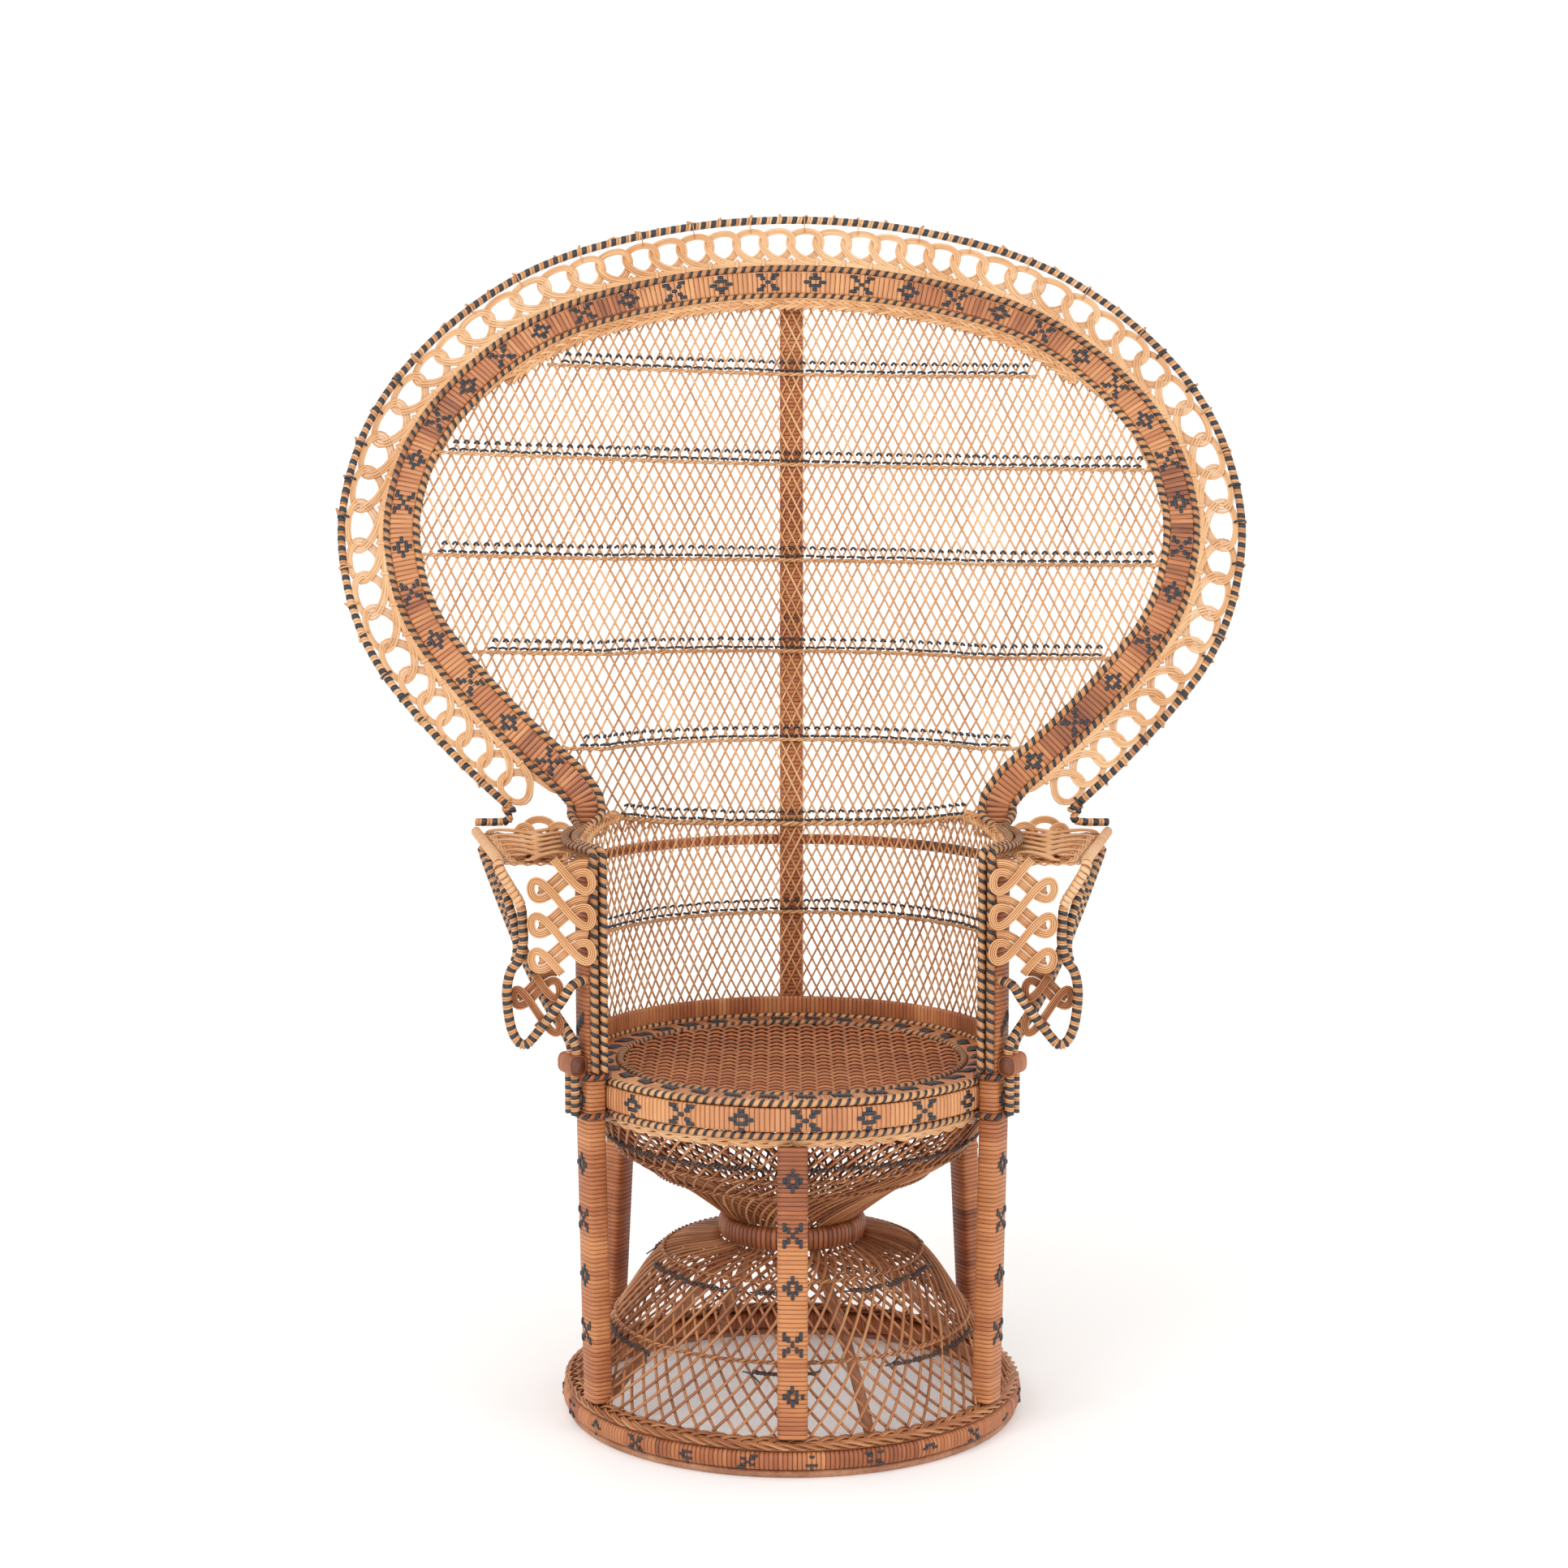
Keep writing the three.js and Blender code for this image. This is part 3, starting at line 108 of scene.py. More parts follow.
# Hoop: its inner braid from the top down the right side to the arm
HOOP_STATIONS = [
    (0, 1312), (42.3, 1311), (84.5, 1308), (126.5, 1302.8), (168.2, 1295.4), (209.5, 1286.1),
    (250.2, 1274.2), (289.4, 1258.4), (326.1, 1237.5), (359.8, 1212), (390.5, 1182.9), (417.7, 1150.5),
    (438.8, 1113.9), (451.7, 1073.7), (457.3, 1031.8), (452.1, 989.9), (440, 949.4), (419.8, 912.3),
    (393.2, 879.4), (364.4, 848.1), (334.9, 818.1), (304, 789.1), (272.4, 760.9), (249.7, 739.7),
    (229.3, 710), (227.2, 674.3),
]
WIDEST = 14
NECK_HEIGHT = 704
NECK_DEPTH = 96.8
NECK_HALF_WIDTH = 227.24
HOOP_TOP = 1312
HOOP_REACH = 350
HOOP_LEAN = 1.38
CROWN_LEAN = 0.3
OUTER_BRAID_AWAY = 35.9
BAND_AWAY = 17.8
BAND_SIZE = (29.2, 8)
RIM_AWAY = 90
LOOP_FIRST, LOOP_LAST = 0.05, 0.95

# Twined rows of the fan, from the top: the height, the rise for each millimetre to the right, and the
# share of the fan's width
FAN_ROWS = [
    (1214.7, -0.025, 0.86), (1102.2, -0.025, 1), (983.7, -0.0145, 1), (871.2, -0.01, 1), (761.8, 0, 1),
]

# Camera fitted to the photograph, in metres about the seat's middle, and where the lamps point
CAMERA_PLACE = (-0.0094, -3.330, 1.130)
CAMERA_TILT = 6.73 * DEGREE
CAMERA_LENS = 66.39
LAMP_TARGET = (0, 0, 0.7)

# Strips in one turn of a wrapping: the share of the pitch that each takes, and its dye
PLAIN = ((1, 0),)
STRIPED = ((0.28, 0), (0.26, 0), (0.46, 1))


def unit(vectors):
    return vectors / np.linalg.norm(vectors, axis=-1, keepdims=True)


def around(radius, angle, height):
    """Points about the seat's upright axis. Angles start at the front and grow towards the right."""
    radius, angle, height = np.broadcast_arrays(radius, angle, height)
    return np.stack([radius * np.sin(angle), -radius * np.cos(angle), height], -1)


def length_of(path):
    return np.linalg.norm(np.diff(path[:, :3], axis=0), axis=1).sum()


def run_along(path):
    """Distance of each station from the start of a path."""
    return np.concatenate([[0], np.cumsum(np.linalg.norm(np.diff(path[:, :3], axis=0), axis=1))])


def at_distances(path, distances):
    return np.stack([np.interp(distances, run_along(path), column) for column in path.T], -1)


def evenly(path, count, start=0.0, end=1.0):
    """Evenly spaced stations between two shares of a path's length."""
    length = run_along(path)[-1]
    return at_distances(path, np.linspace(start * length, end * length, count))


def smooth(points, count):
    """Evenly spaced points on a smooth curve through the given ones."""
    points = np.asarray(points, float)
    ends = np.vstack([2 * points[0] - points[1], points, 2 * points[-1] - points[-2]])
    share = np.linspace(0, 1, 16, endpoint=False)[:, None]
    bends = [
        0.5 * (2 * b + (c - a) * share + (2 * a - 5 * b + 4 * c - d) * share ** 2
               + (3 * b - a - 3 * c + d) * share ** 3)
        for a, b, c, d in zip(ends, ends[1:], ends[2:], ends[3:])
    ]
    return evenly(np.vstack([*bends, points[-1:]]), count)


def joined(rail):
    """A closed rail, whose last station is its first."""
    rail[-1] = rail[0]
    return rail


def facing(points, out):
    """Rail through points that faces one direction, or a direction for each point."""
    points = np.asarray(points, float)
    return np.concatenate([points, np.broadcast_to(np.asarray(out, float), points.shape)], -1)


def carried(points, out):
    """Rail through points whose outward direction turns as little as it can."""
    along = np.gradient(points, axis=0)
    outs = []
    out = np.asarray(out, float)
    for step in along:
        out = unit(out - step * (out @ step) / (step @ step))
        outs.append(out)
    return np.hstack([points, outs])


def circle(radius, height, out=None, count=181, start=0.0, end=2 * math.pi):
    """Rail round the seat's axis that faces outwards, or along a radius and height."""
    angle = np.linspace(start, end, count)
    across, up = out or (1, 0)
    outs = around(across, angle, up)
    rail = np.hstack([around(radius, angle, height), outs])
    return joined(rail) if abs(end - start - 2 * math.pi) < MM else rail


def oval(width, thickness, points=6, square=0.75):
    """Closed section. A lower number is squarer."""
    turn = 2 * math.pi * (np.arange(points) + 0.5) / points
    corner = np.stack([np.cos(turn), np.sin(turn)], -1)
    return np.sign(corner) * np.abs(corner) ** square * [width / 2, thickness / 2]


def frames(rails, closed=False):
    """Points, sideways directions and outward directions of rails."""
    at, out = rails[..., :3], rails[..., 3:]
    along = np.gradient(at, axis=-2)
    if closed:
        along[..., 0, :] = along[..., -1, :] = at[..., 1, :] - at[..., -2, :]
    side = unit(np.cross(along, out))
    return at, side, unit(np.cross(side, along))


def shifted(rail, sideways, raised, closed=False):
    """A rail moved sideways and outwards of itself, by one distance or by one for each station."""
    at, side, out = frames(rail, closed)
    sideways, raised = [np.broadcast_to(value, at.shape[:-1])[..., None] for value in (sideways, raised)]
    return np.concatenate([at + side * sideways + out * raised, out], -1)


def mirrored(rails):
    return np.asarray(rails) * [-1, 1, 1, -1, 1, 1]


def turns_of(rail, pitch):
    return max(1, round(length_of(rail) / pitch))


class Weave:
    """A piece in the making, gathered from strands."""

    def __init__(self, seed):
        self.meshes = []
        self.draw = np.random.default_rng(seed)

    def strands(self, rails, section, closed=False, tones=None, dye=0.0):
        """Sweeps a section along rails that all have the same number of stations."""
        rails = np.asarray(rails, float)
        rails = rails[None] if rails.ndim == 2 else rails
        at, side, out = frames(rails, closed)
        loop = np.vstack([section, section[:1]])
        places = at[:, :, None] + side[:, :, None] * loop[:, :1] + out[:, :, None] * loop[:, 1:]
        count, stations, points = places.shape[:3]
        run = np.cumsum(np.linalg.norm(np.diff(at, axis=1, prepend=at[:, :1]), axis=2), axis=1)
        grain = np.empty(places.shape)
        grain[..., 0] = (run + self.draw.uniform(0, 5000, (count, 1)))[..., None]
        grain[..., 1:] = loop
        tones = self.draw.uniform(0.2, 0.8, count) if tones is None else np.broadcast_to(tones, count)
        tone = np.broadcast_to(tones[:, None, None], places.shape[:3])
        grid = bmesh.new()
        bmesh.ops.create_grid(grid, x_segments=points - 1, y_segments=count * stations - 1, size=1)
        row = points - 1
        gaps = [face for i, face in enumerate(grid.faces) if (i // row) % stations == stations - 1]
        bmesh.ops.delete(grid, geom=gaps, context="FACES")
        mesh = bpy.data.meshes.new("strands")
        grid.to_mesh(mesh)
        grid.free()
        mesh.vertices.foreach_set("co", (places * MM + SEAT_MIDDLE).ravel())
        for name, kind, field, values in (
            ("grain", "FLOAT_VECTOR", "vector", grain * MM),
            ("tone", "FLOAT", "value", tone),
            ("dye", "FLOAT", "value", np.full(places.shape[:3], float(dye))),
        ):
            mesh.attributes.new(name, kind, "POINT").data.foreach_set(field, values.ravel())
        tube = bmesh.new()
        tube.from_mesh(mesh)
        bmesh.ops.remove_doubles(tube, verts=tube.verts, dist=MM * MM)
        bmesh.ops.holes_fill(tube, edges=[edge for edge in tube.edges if edge.is_boundary])
        bmesh.ops.recalc_face_normals(tube, faces=tube.faces)
        tube.to_mesh(mesh)
        tube.free()
        self.meshes.append(mesh)

    def patchy(self, count, tone=0.5, spread=1.0):
        """Tones that vary from strip to strip and from patch to patch."""
        patches = np.cumsum(self.draw.uniform(size=count) < 0.14)
        broad = self.draw.normal(0, 1, count + 1)[patches]
        return np.clip(tone + spread * (0.2 * broad + 0.09 * self.draw.normal(0, 1, count)), 0, 1)

    def rope(self, rail, pitch, radius, strips, closed=False, steps=8, core=True):
        """Strips wound round a rail. Each strip is (width, thickness, dye)."""
        turns = turns_of(rail, pitch)
        join = joined if closed else np.asarray
        middle = join(evenly(rail, turns * steps + 1))
        at, side, out = frames(middle, closed)
        turn = 2 * math.pi * turns * np.linspace(0, 1, len(middle))[:, None]
        for i, (width, thickness, dye) in enumerate(strips):
            phase = turn + 2 * math.pi * i / len(strips)
            away = np.cos(phase) * side + np.sin(phase) * out
            rails = join(np.hstack([at + radius * away, away]))
            self.strands(rails, oval(width, thickness), closed, dye=dye)
        if core:
            plain = join(evenly(rail, max(8, turns + 1)))
            self.strands(plain, oval(radius * 2, radius * 2, 8, 1), closed, tones=0.2)

    def wraps(self, rail, pitch, size, strip=1.5, square=0.45, points=14, closed=False, slant=0.0,
              pattern=PLAIN, tone=0.5, spread=1.0):
        """Strips laid round a bar, one beside the next, over a plain core. A pattern has the share of
        the pitch and the dye of each strip in it."""
        count = turns_of(rail, pitch)
        pitch = length_of(rail) / count
        outline = oval(size[0] - strip, size[1] - strip, points, square)
        outline = np.vstack([outline, outline[:1]])
        tangent = np.gradient(outline, axis=0)
        tangent[0] = tangent[-1] = outline[1] - outline[-2]
        normal = unit(np.stack([tangent[:, 1], -tangent[:, 0]], -1))
        lean = slant * np.sin(2 * math.pi * np.arange(len(outline)) / points)[:, None]
        begun = 0
        for share, dye in pattern:
            middle = at_distances(rail, (np.arange(count) + begun + share / 2) * pitch)
            begun += share
            at, side, out = frames(np.vstack([middle[-1:], middle, middle[:1]]) if closed else middle)
            if closed:
                at, side, out = at[1:-1], side[1:-1], out[1:-1]
            along = unit(np.cross(out, side))
            places = at[:, None] + side[:, None] * outline[:, :1] + out[:, None] * outline[:, 1:]
            places = places + along[:, None] * lean
            outs = side[:, None] * normal[:, :1] + out[:, None] * normal[:, 1:]
            places[:, -1] = places[:, 0]
            rings = np.concatenate([places, outs], -1)
            self.strands(rings, oval(pitch * share * 0.98, strip, 6, 0.6), True,
                         self.patchy(count, tone, spread), dye)
        core = rail if closed else evenly(rail, max(3, len(rail)))
        self.strands(core, oval(size[0] - strip * 2, size[1] - strip * 2, 12, square), closed, tones=0.05)

    def figures(self, rail, spots, step, rise, width, thickness, skip=0.0):
        """Dyed strips laid along a bar over its wraps. Spots are (distance, figure)."""
        rails = []
        for distance, figure in spots:
            for away, start, end in FIGURES[figure]:
                if self.draw.uniform() < skip:
                    continue
                places = distance + np.linspace(start, end, 6) * step[0]
                dip = np.array([1, 0.15, 0, 0, 0.15, 1]) * thickness
                sways = self.draw.normal(0, 0.15, 1)
                rails.append(shifted(at_distances(rail, places), away * step[1] + sways, rise - dip))
        self.strands(rails, oval(width, thickness, 6, 0.6), dye=1)

    def plait(self, rail, pitch, spread, lift, strip, strands, bundle, steps):
        """Flat plait round a closed rail: strands swing from side to side and pass over and under each
        other."""
        turns = turns_of(rail, pitch)
        middle = joined(evenly(rail, turns * steps + 1))
        turn = 2 * math.pi * turns * np.linspace(0, 1, len(middle))
        rails = []
        for strand in range(strands):
            phase = turn + 2 * math.pi * strand / strands
            for k in range(bundle):
                beside = (k - (bundle - 1) / 2) * strip[0] * 0.98
                rails.append(joined(shifted(
                    middle, spread * np.sin(phase) + beside, lift * np.sin(2 * phase), True)))
        self.strands(rails, oval(*strip, 6, 0.65), True)

    def knots(self, flip, place, wide, high, pitch, span, curl, strip, strands, out, lift=0.95):
        """A flat band that swings from side to side and loops round an eye at each turn, with a second
        band beside each pass back. The span is in half swings."""
        out = np.asarray(out, float)
        offsets = np.arange(strands) - (strands - 1) / 2
        passes = [(swing + 0.2, swing + 0.82, offsets - strands, strip[1])
                  for swing in range(1, int(span[1]), 2)]
        for first, last, offsets, behind in [(*span, offsets, 0), *passes]:
            t = np.linspace(first, last, int(20 * (last - first)) + 8) * math.pi
            middle, half = (wide[0] + wide[1]) / 2, (wide[1] - wide[0]) / 2
            run = high + pitch * (t - KNOT_LAG * np.cos(t)) / (2 * math.pi)
            centre = place(
                middle - half * np.cos(t), run - math.copysign(curl, pitch) * np.sin(2 * t), 0 * t)
            along = unit(np.gradient(centre, axis=0))
            across = unit(np.cross(along, np.broadcast_to(out, along.shape)))
            over = strip[1] * lift * np.sin(t) - behind * np.linspace(-1, 1, len(t)) ** 2
            rails = [facing(centre + across * offset * strip[0] + out * over[:, None], out)
                     for offset in offsets]
            self.strands(flip(rails), oval(strip[0] * 0.92, strip[1], 6, 1),
                         tones=self.draw.uniform(0.2, 0.75, len(rails)))
            # A dark strip (tone 0) under the strands is painted shade in the grooves and gaps between them.
            groove_shade_backing = facing(centre + across * offsets.mean() * strip[0] + out * (over[:, None] - 0.6), out)
            self.strands(flip(groove_shade_backing), oval(strip[0] * (strands - 0.5), strip[1] * 0.4, 6, 0.6), tones=0.0)

    def herringbone(self, rail, pitch, half, reach, strip, lift):
        """Short strips that slant in from both edges and meet along the middle. None passes the rail's
        end."""
        share = np.linspace(0, 1, 7)
        length = length_of(rail)
        rails = []
        for k in range(int(length / pitch)):
            for side in (-1, 1):
                start = (k + (side + 1) / 4 + self.draw.normal(0, 0.05)) * pitch
                at = at_distances(rail, start + share * min(reach, length - start))
                away = side * (half * (1 - share) ** 0.85 - 1.2 * share)
                rails.append(shifted(at, away, lift * np.sin(math.pi * share ** 0.8) - 0.5))
        self.strands(rails, oval(*strip, 6, 0.75))

    def done(self, name, finish, slot, *nodes):
        """Makes the piece's object, which stands for CAD nodes."""
        shape = bmesh.new()
        for mesh in self.meshes:
            shape.from_mesh(mesh)
        mesh = bpy.data.meshes.new(name)
        shape.to_mesh(mesh)
        shape.free()
        for part in self.meshes:
            bpy.data.meshes.remove(part)
        mesh.shade_smooth()
        piece = bpy.data.objects.new(name, mesh)
        bpy.context.scene.collection.objects.link(piece)
        mesh.materials.append(bpy.data.materials[finish])
        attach(piece, "root")
        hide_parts(*nodes)


# Woven figures: strips at steps across the bar, from and to steps along it
FIGURES = {
    "cross": [(-2, -3, -0.9), (-2, 0.9, 3), (-1, -2, -0.5), (-1, 0.5, 2), (0, -0.8, 0.8), (1, -2, -0.5),
              (1, 0.5, 2), (2, -3, -0.9), (2, 0.9, 3)],
    "diamond": [(-2, -0.7, 0.7), (-1, -1.9, 1.9), (0, -3, -0.7), (0, 0.7, 3), (1, -1.9, 1.9),
                (2, -0.7, 0.7)],
    "footed": [(-2, -0.7, 0.7), (-1, -1.7, 1.7), (0, -2.6, -0.6), (0, 0.6, 2.6), (1, -1.7, 1.7),
               (2.4, -0.5, 0.5)],
    "arrow": [(-1.5, -3, 0), (-0.5, -2, 1.4), (0.5, -1, 2.6), (1.5, 0, 3.4)],
}


# Shader nodes
class Value:
    """A socket in an expression of shader maths."""

    def __init__(self, finish, socket):
        self.finish = finish
        self.socket = socket

    def _math(self, operation, first, second):
        return self.finish.node("ShaderNodeMath", {"operation": operation}, {0: first, 1: second})

    def __add__(self, other):
        return self._math("ADD", self, other)

    def __sub__(self, other):
        return self._math("SUBTRACT", self, other)

    def __mul__(self, other):
        return self._math("MULTIPLY", self, other)


class Finish:
    """A material, or the world, and its nodes."""

    def __init__(self, owner):
        owner.use_nodes = True
        self.owner = owner
        self.tree = owner.node_tree
        self.tree.nodes.clear()

    def node(self, kind, settings, inputs, output=0):
        node = self.tree.nodes.new(kind)
        for name, value in settings.items():
            if name == "stops":
                ramp = node.color_ramp
                while len(ramp.elements) < len(value):
                    ramp.elements.new(1)
                for stop, (place, colour) in zip(ramp.elements, value):
                    stop.position = place
                    stop.color = (*colour, 1)
            else:
                setattr(node, name, value)
        for name, value in inputs.items():
            if isinstance(value, Value):
                self.tree.links.new(value.socket, node.inputs[name])
            else:
                node.inputs[name].default_value = value
        return Value(self, node.outputs[output]) if node.outputs else node

    def noise(self, vector, scale, detail=3.0):
        return self.node("ShaderNodeTexNoise", {}, {
            "Vector": vector, "Scale": scale, "Detail": detail, "Roughness": 0.6})

    def mix(self, factor, first, second):
        return self.node("ShaderNodeMix", {"data_type": "RGBA"}, {0: factor, 6: first, 7: second}, 2)

    def stretched(self, vector, scale):
        return self.node("ShaderNodeVectorMath", {"operation": "MULTIPLY"}, {0: vector, 1: scale})

    def shader(self, colour, roughness, height, **plain):
        bump = self.node("ShaderNodeBump", {}, {"Height": height, "Strength": 0.5, "Distance": 0.0006})
        inputs = {"Base Color": colour, "Roughness": roughness, "Normal": bump}
        inputs.update({name.replace("_", " "): value for name, value in plain.items()})
        surface = self.node("ShaderNodeBsdfPrincipled", {}, inputs)
        self.node("ShaderNodeOutputMaterial", {}, {"Surface": surface})
        return self.owner


def linear(colour):
    """Linear colour of three display values from 0 to 255."""
    return tuple((c / 255 / 12.92) if c <= 10 else ((c / 255 + 0.055) / 1.055) ** 2.4 for c in colour)


def woven_finish(name, stops, tone_share, dyed, shine):
    """Split cane: streaks run along each strand, and each strand has its own tone."""
    finish = Finish(bpy.data.materials.new(name))
    grain = finish.node("ShaderNodeAttribute", {"attribute_name": "grain"}, {}, "Vector")
    tone = finish.node("ShaderNodeAttribute", {"attribute_name": "tone"}, {}, "Fac")
    dye = finish.node("ShaderNodeAttribute", {"attribute_name": "dye"}, {}, "Fac")
    place = finish.node("ShaderNodeTexCoord", {}, {}, "Object")
    fibre = finish.noise(finish.stretched(grain, (26, 1300, 1300)), 1)
    blotch = finish.noise(finish.stretched(grain, (14, 60, 60)), 1, 2)
    stain = finish.noise(place, 7, 3)
    shade = tone * tone_share + (fibre - 0.5) * 0.55 + (blotch - 0.5) * 0.5 + (stain - 0.5) * 0.55
    shade = shade + (1 - tone_share) / 2
    natural = finish.node("ShaderNodeValToRGB", {"stops": stops}, {"Fac": shade})
    worn = finish.mix(fibre, dyed[0], dyed[1])
    colour = finish.mix(dye, natural, worn)
    roughness = (fibre - 0.5) * 0.3 + (stain - 0.5) * 0.2 + shine
    return finish.shader(colour, roughness, fibre, Coat_Weight=0.08, Coat_Roughness=0.3)


def pole_finish(name, stops):
    """Bare peeled pole, streaked in the direction of its length and dusty in patches."""
    finish = Finish(bpy.data.materials.new(name))
    place = finish.node("ShaderNodeTexCoord", {}, {}, "Object")
    grain = finish.node("ShaderNodeAttribute", {"attribute_name": "grain"}, {}, "Vector")
    fibre = finish.noise(finish.stretched(grain, (20, 900, 900)), 1)
    dust = finish.noise(place, 24, 4)
    spots = finish.noise(place, 210, 2)
    shade = (fibre - 0.5) * 0.5 + (dust - 0.5) * 0.8 + (spots - 0.5) * 0.4 + 0.5
    colour = finish.node("ShaderNodeValToRGB", {"stops": stops}, {"Fac": shade})
    return finish.shader(colour, (dust - 0.5) * 0.3 + 0.6, fibre + spots * 0.4)


def make_finishes(colours):
    def stops(name, *places):
        return [(place, getattr(colours, f"{name}_{shade}")) for place, shade in
                zip(places, ("dark", "middle", "light"))]

    dyed = [(*colours.dye_dark, 1), (*colours.dye_light, 1)]
    woven_finish("cane_natural", stops("cane", 0.05, 0.42, 0.88), 0.5, dyed, 0.42)
    woven_finish("braid_two_tone", stops("cane", 0.1, 0.55, 0.98), 0.5, dyed, 0.4)
    # Darker cane of the lower parts: the base, and the lower arm panel, where the darker colour is painted
    # shade.
    woven_finish("cane_lower", stops("lower_cane", 0.05, 0.45, 0.92), 0.6, dyed, 0.46)
    woven_finish("wrap_honey", stops("honey", 0.02, 0.5, 0.97), 0.95, dyed, 0.4)
    woven_finish("wrap_brown", stops("brown", 0.02, 0.5, 0.97), 0.85, dyed, 0.44)
    pole_finish("pole_bare", stops("pole", 0.2, 0.5, 0.85))


# Surfaces of the back
def hoop_depth(height):
    rise = np.clip((height - NECK_HEIGHT) / (HOOP_TOP - NECK_HEIGHT), 0, 1)
    crown = np.maximum(height - HOOP_TOP, 0) * CROWN_LEAN
    return NECK_DEPTH + (HOOP_REACH - NECK_DEPTH) * rise ** HOOP_LEAN + crown


def hoop_front(height):
    slope = (hoop_depth(height + 1) - hoop_depth(height - 1)) / 2
    return unit(np.stack([np.zeros_like(slope), -np.ones_like(slope), slope], -1))


def hoop_curve():
    """Dense middle line of the inner braid with its outward directions, left to right."""
    half = np.array(HOOP_STATIONS, float)
    whole = np.vstack([half[:0:-1] * [-1, 1], half])
    line = smooth(whole, 1201)
    along = np.gradient(line, axis=0)
    return np.hstack([line, unit(np.stack([-along[:, 1], along[:, 0]], -1))])


HOOP = hoop_curve()


def hoop_place(share, outwards, ahead=0.0):
    """Stations on the hoop's sheet at shares of its length and distances outwards of the inner braid."""
    share, outwards, ahead = np.broadcast_arrays(share, outwards, ahead)
    x, z, across, up = [np.interp(share, np.linspace(0, 1, len(HOOP)), column) for column in HOOP.T]
    height = z + outwards * up
    front = hoop_front(height)
    at = np.stack([x + outwards * across, hoop_depth(height), height], -1) + front * ahead[..., None]
    return np.concatenate([at, front], -1)


def hoop_rail(outwards, ahead, start, end, count=500):
    return hoop_place(np.linspace(start, end, count), outwards, ahead)


STATION_X, STATION_Z = np.array(HOOP_STATIONS, float).T


def hoop_heights(wide):
    upper = np.interp(wide, STATION_X[:WIDEST + 1], STATION_Z[:WIDEST + 1])
    lower = np.interp(wide, STATION_X[WIDEST:][::-1], STATION_Z[WIDEST:][::-1])
    return lower, upper


def fan_half_width(height):
    upper = np.interp(height, STATION_Z[:WIDEST + 1][::-1], STATION_X[:WIDEST + 1][::-1])
    lower = np.interp(height, STATION_Z[WIDEST:][::-1], STATION_X[WIDEST:][::-1])
    return np.where(height > STATION_Z[WIDEST], upper, lower)


def fan_foot(wide):
    on_wall = POST_TOP + (NECK_HEIGHT - POST_TOP) * wide / NECK_HALF_WIDTH
    return np.where(wide < NECK_HALF_WIDTH, on_wall, hoop_heights(wide)[0])


def fan_depth(wide, height):
    """Depth of the fan, which runs straight up and back from the wall or the lower hoop to the upper."""
    low = fan_foot(wide)
    high = hoop_heights(wide)[1]
    on_wall = np.sqrt(np.maximum(WALL_RADIUS ** 2 - wide ** 2, 0))
    depth = np.where(wide < NECK_HALF_WIDTH, on_wall, hoop_depth(low))
    share = np.clip((height - low) / np.maximum(high - low, 1), 0, 1)
    return depth + (hoop_depth(high) - depth) * share


def fan_place(x, height, ahead):
    wide = np.minimum(np.abs(x), STATION_X.max() - 0.5)
    depth = fan_depth(wide, height)
    slope = (fan_depth(wide, height + 2) - fan_depth(wide, height - 2)) / 4
    beyond = (fan_depth(np.minimum(wide + 2, 456), height) - fan_depth(np.maximum(wide - 2, 0), height)) / 4
    front = unit(np.stack([np.sign(x) * beyond, -np.ones_like(depth), slope], -1))
    at = np.stack([x, depth, height + np.zeros_like(x)], -1)
    return np.concatenate([at + front * ahead, front], -1)


def spine_path():
    """Middle line of the spine, from the base up behind the wall and the fan."""
    lean = (HOOP_REACH - WALL_RADIUS) / (HOOP_TOP - POST_TOP)
    top = SPINE_RADIUS + lean * (SPINE_TOP - POST_TOP)
    return np.array([
        (0, LEG_FOOT_RADIUS, LEG_FOOT), (0, SPINE_RADIUS, LEG_HEAD), (0, SPINE_RADIUS, POST_TOP),
        (0, top, SPINE_TOP)], float)


def post_place(out, ahead, height):
    """Point beside the right arm post, a distance outwards and a distance to the front."""
    height = np.asarray(height, float)
    away = around(1, POST_ANGLE, 0) * out + around(1, POST_ANGLE - math.pi / 2, 0) * ahead
    return around(POST_RADIUS, POST_ANGLE, height) + away


# Arm lines of the right side
EDGE_HEIGHT = 668
EDGE_START = np.array([378, 100, EDGE_HEIGHT], float)
EDGE_END = np.array([325, -154.2, EDGE_HEIGHT], float)
POST_FACE = post_place(0, 17, 0)
SCROLL_SHARES = [
    (1, 0.03), (0.887, 0.116), (0.79, 0.19), (0.765, 0.28), (0.765, 0.375), (0.82, 0.45), (0.9, 0.5),
    (0.94, 0.6), (0.905, 0.74), (0.83, 0.815), (0.74, 0.83), (0.65, 0.79), (0.5, 0.71), (0.36, 0.63),
    (0.25, 0.56),
]


def scroll_place(out, down, depth=EDGE_END[1]):
    """Point beside the scroll, at shares of the way out from the post and down to the seat."""
    height = EDGE_HEIGHT + (RIM_TOP - EDGE_HEIGHT) * down
    return (POST_FACE[0] + (EDGE_END[0] - POST_FACE[0]) * out, depth, height)


def edge_point(share):
    """Point on the arm's edge, from its back to its front."""
    return EDGE_START + (EDGE_END - EDGE_START) * share


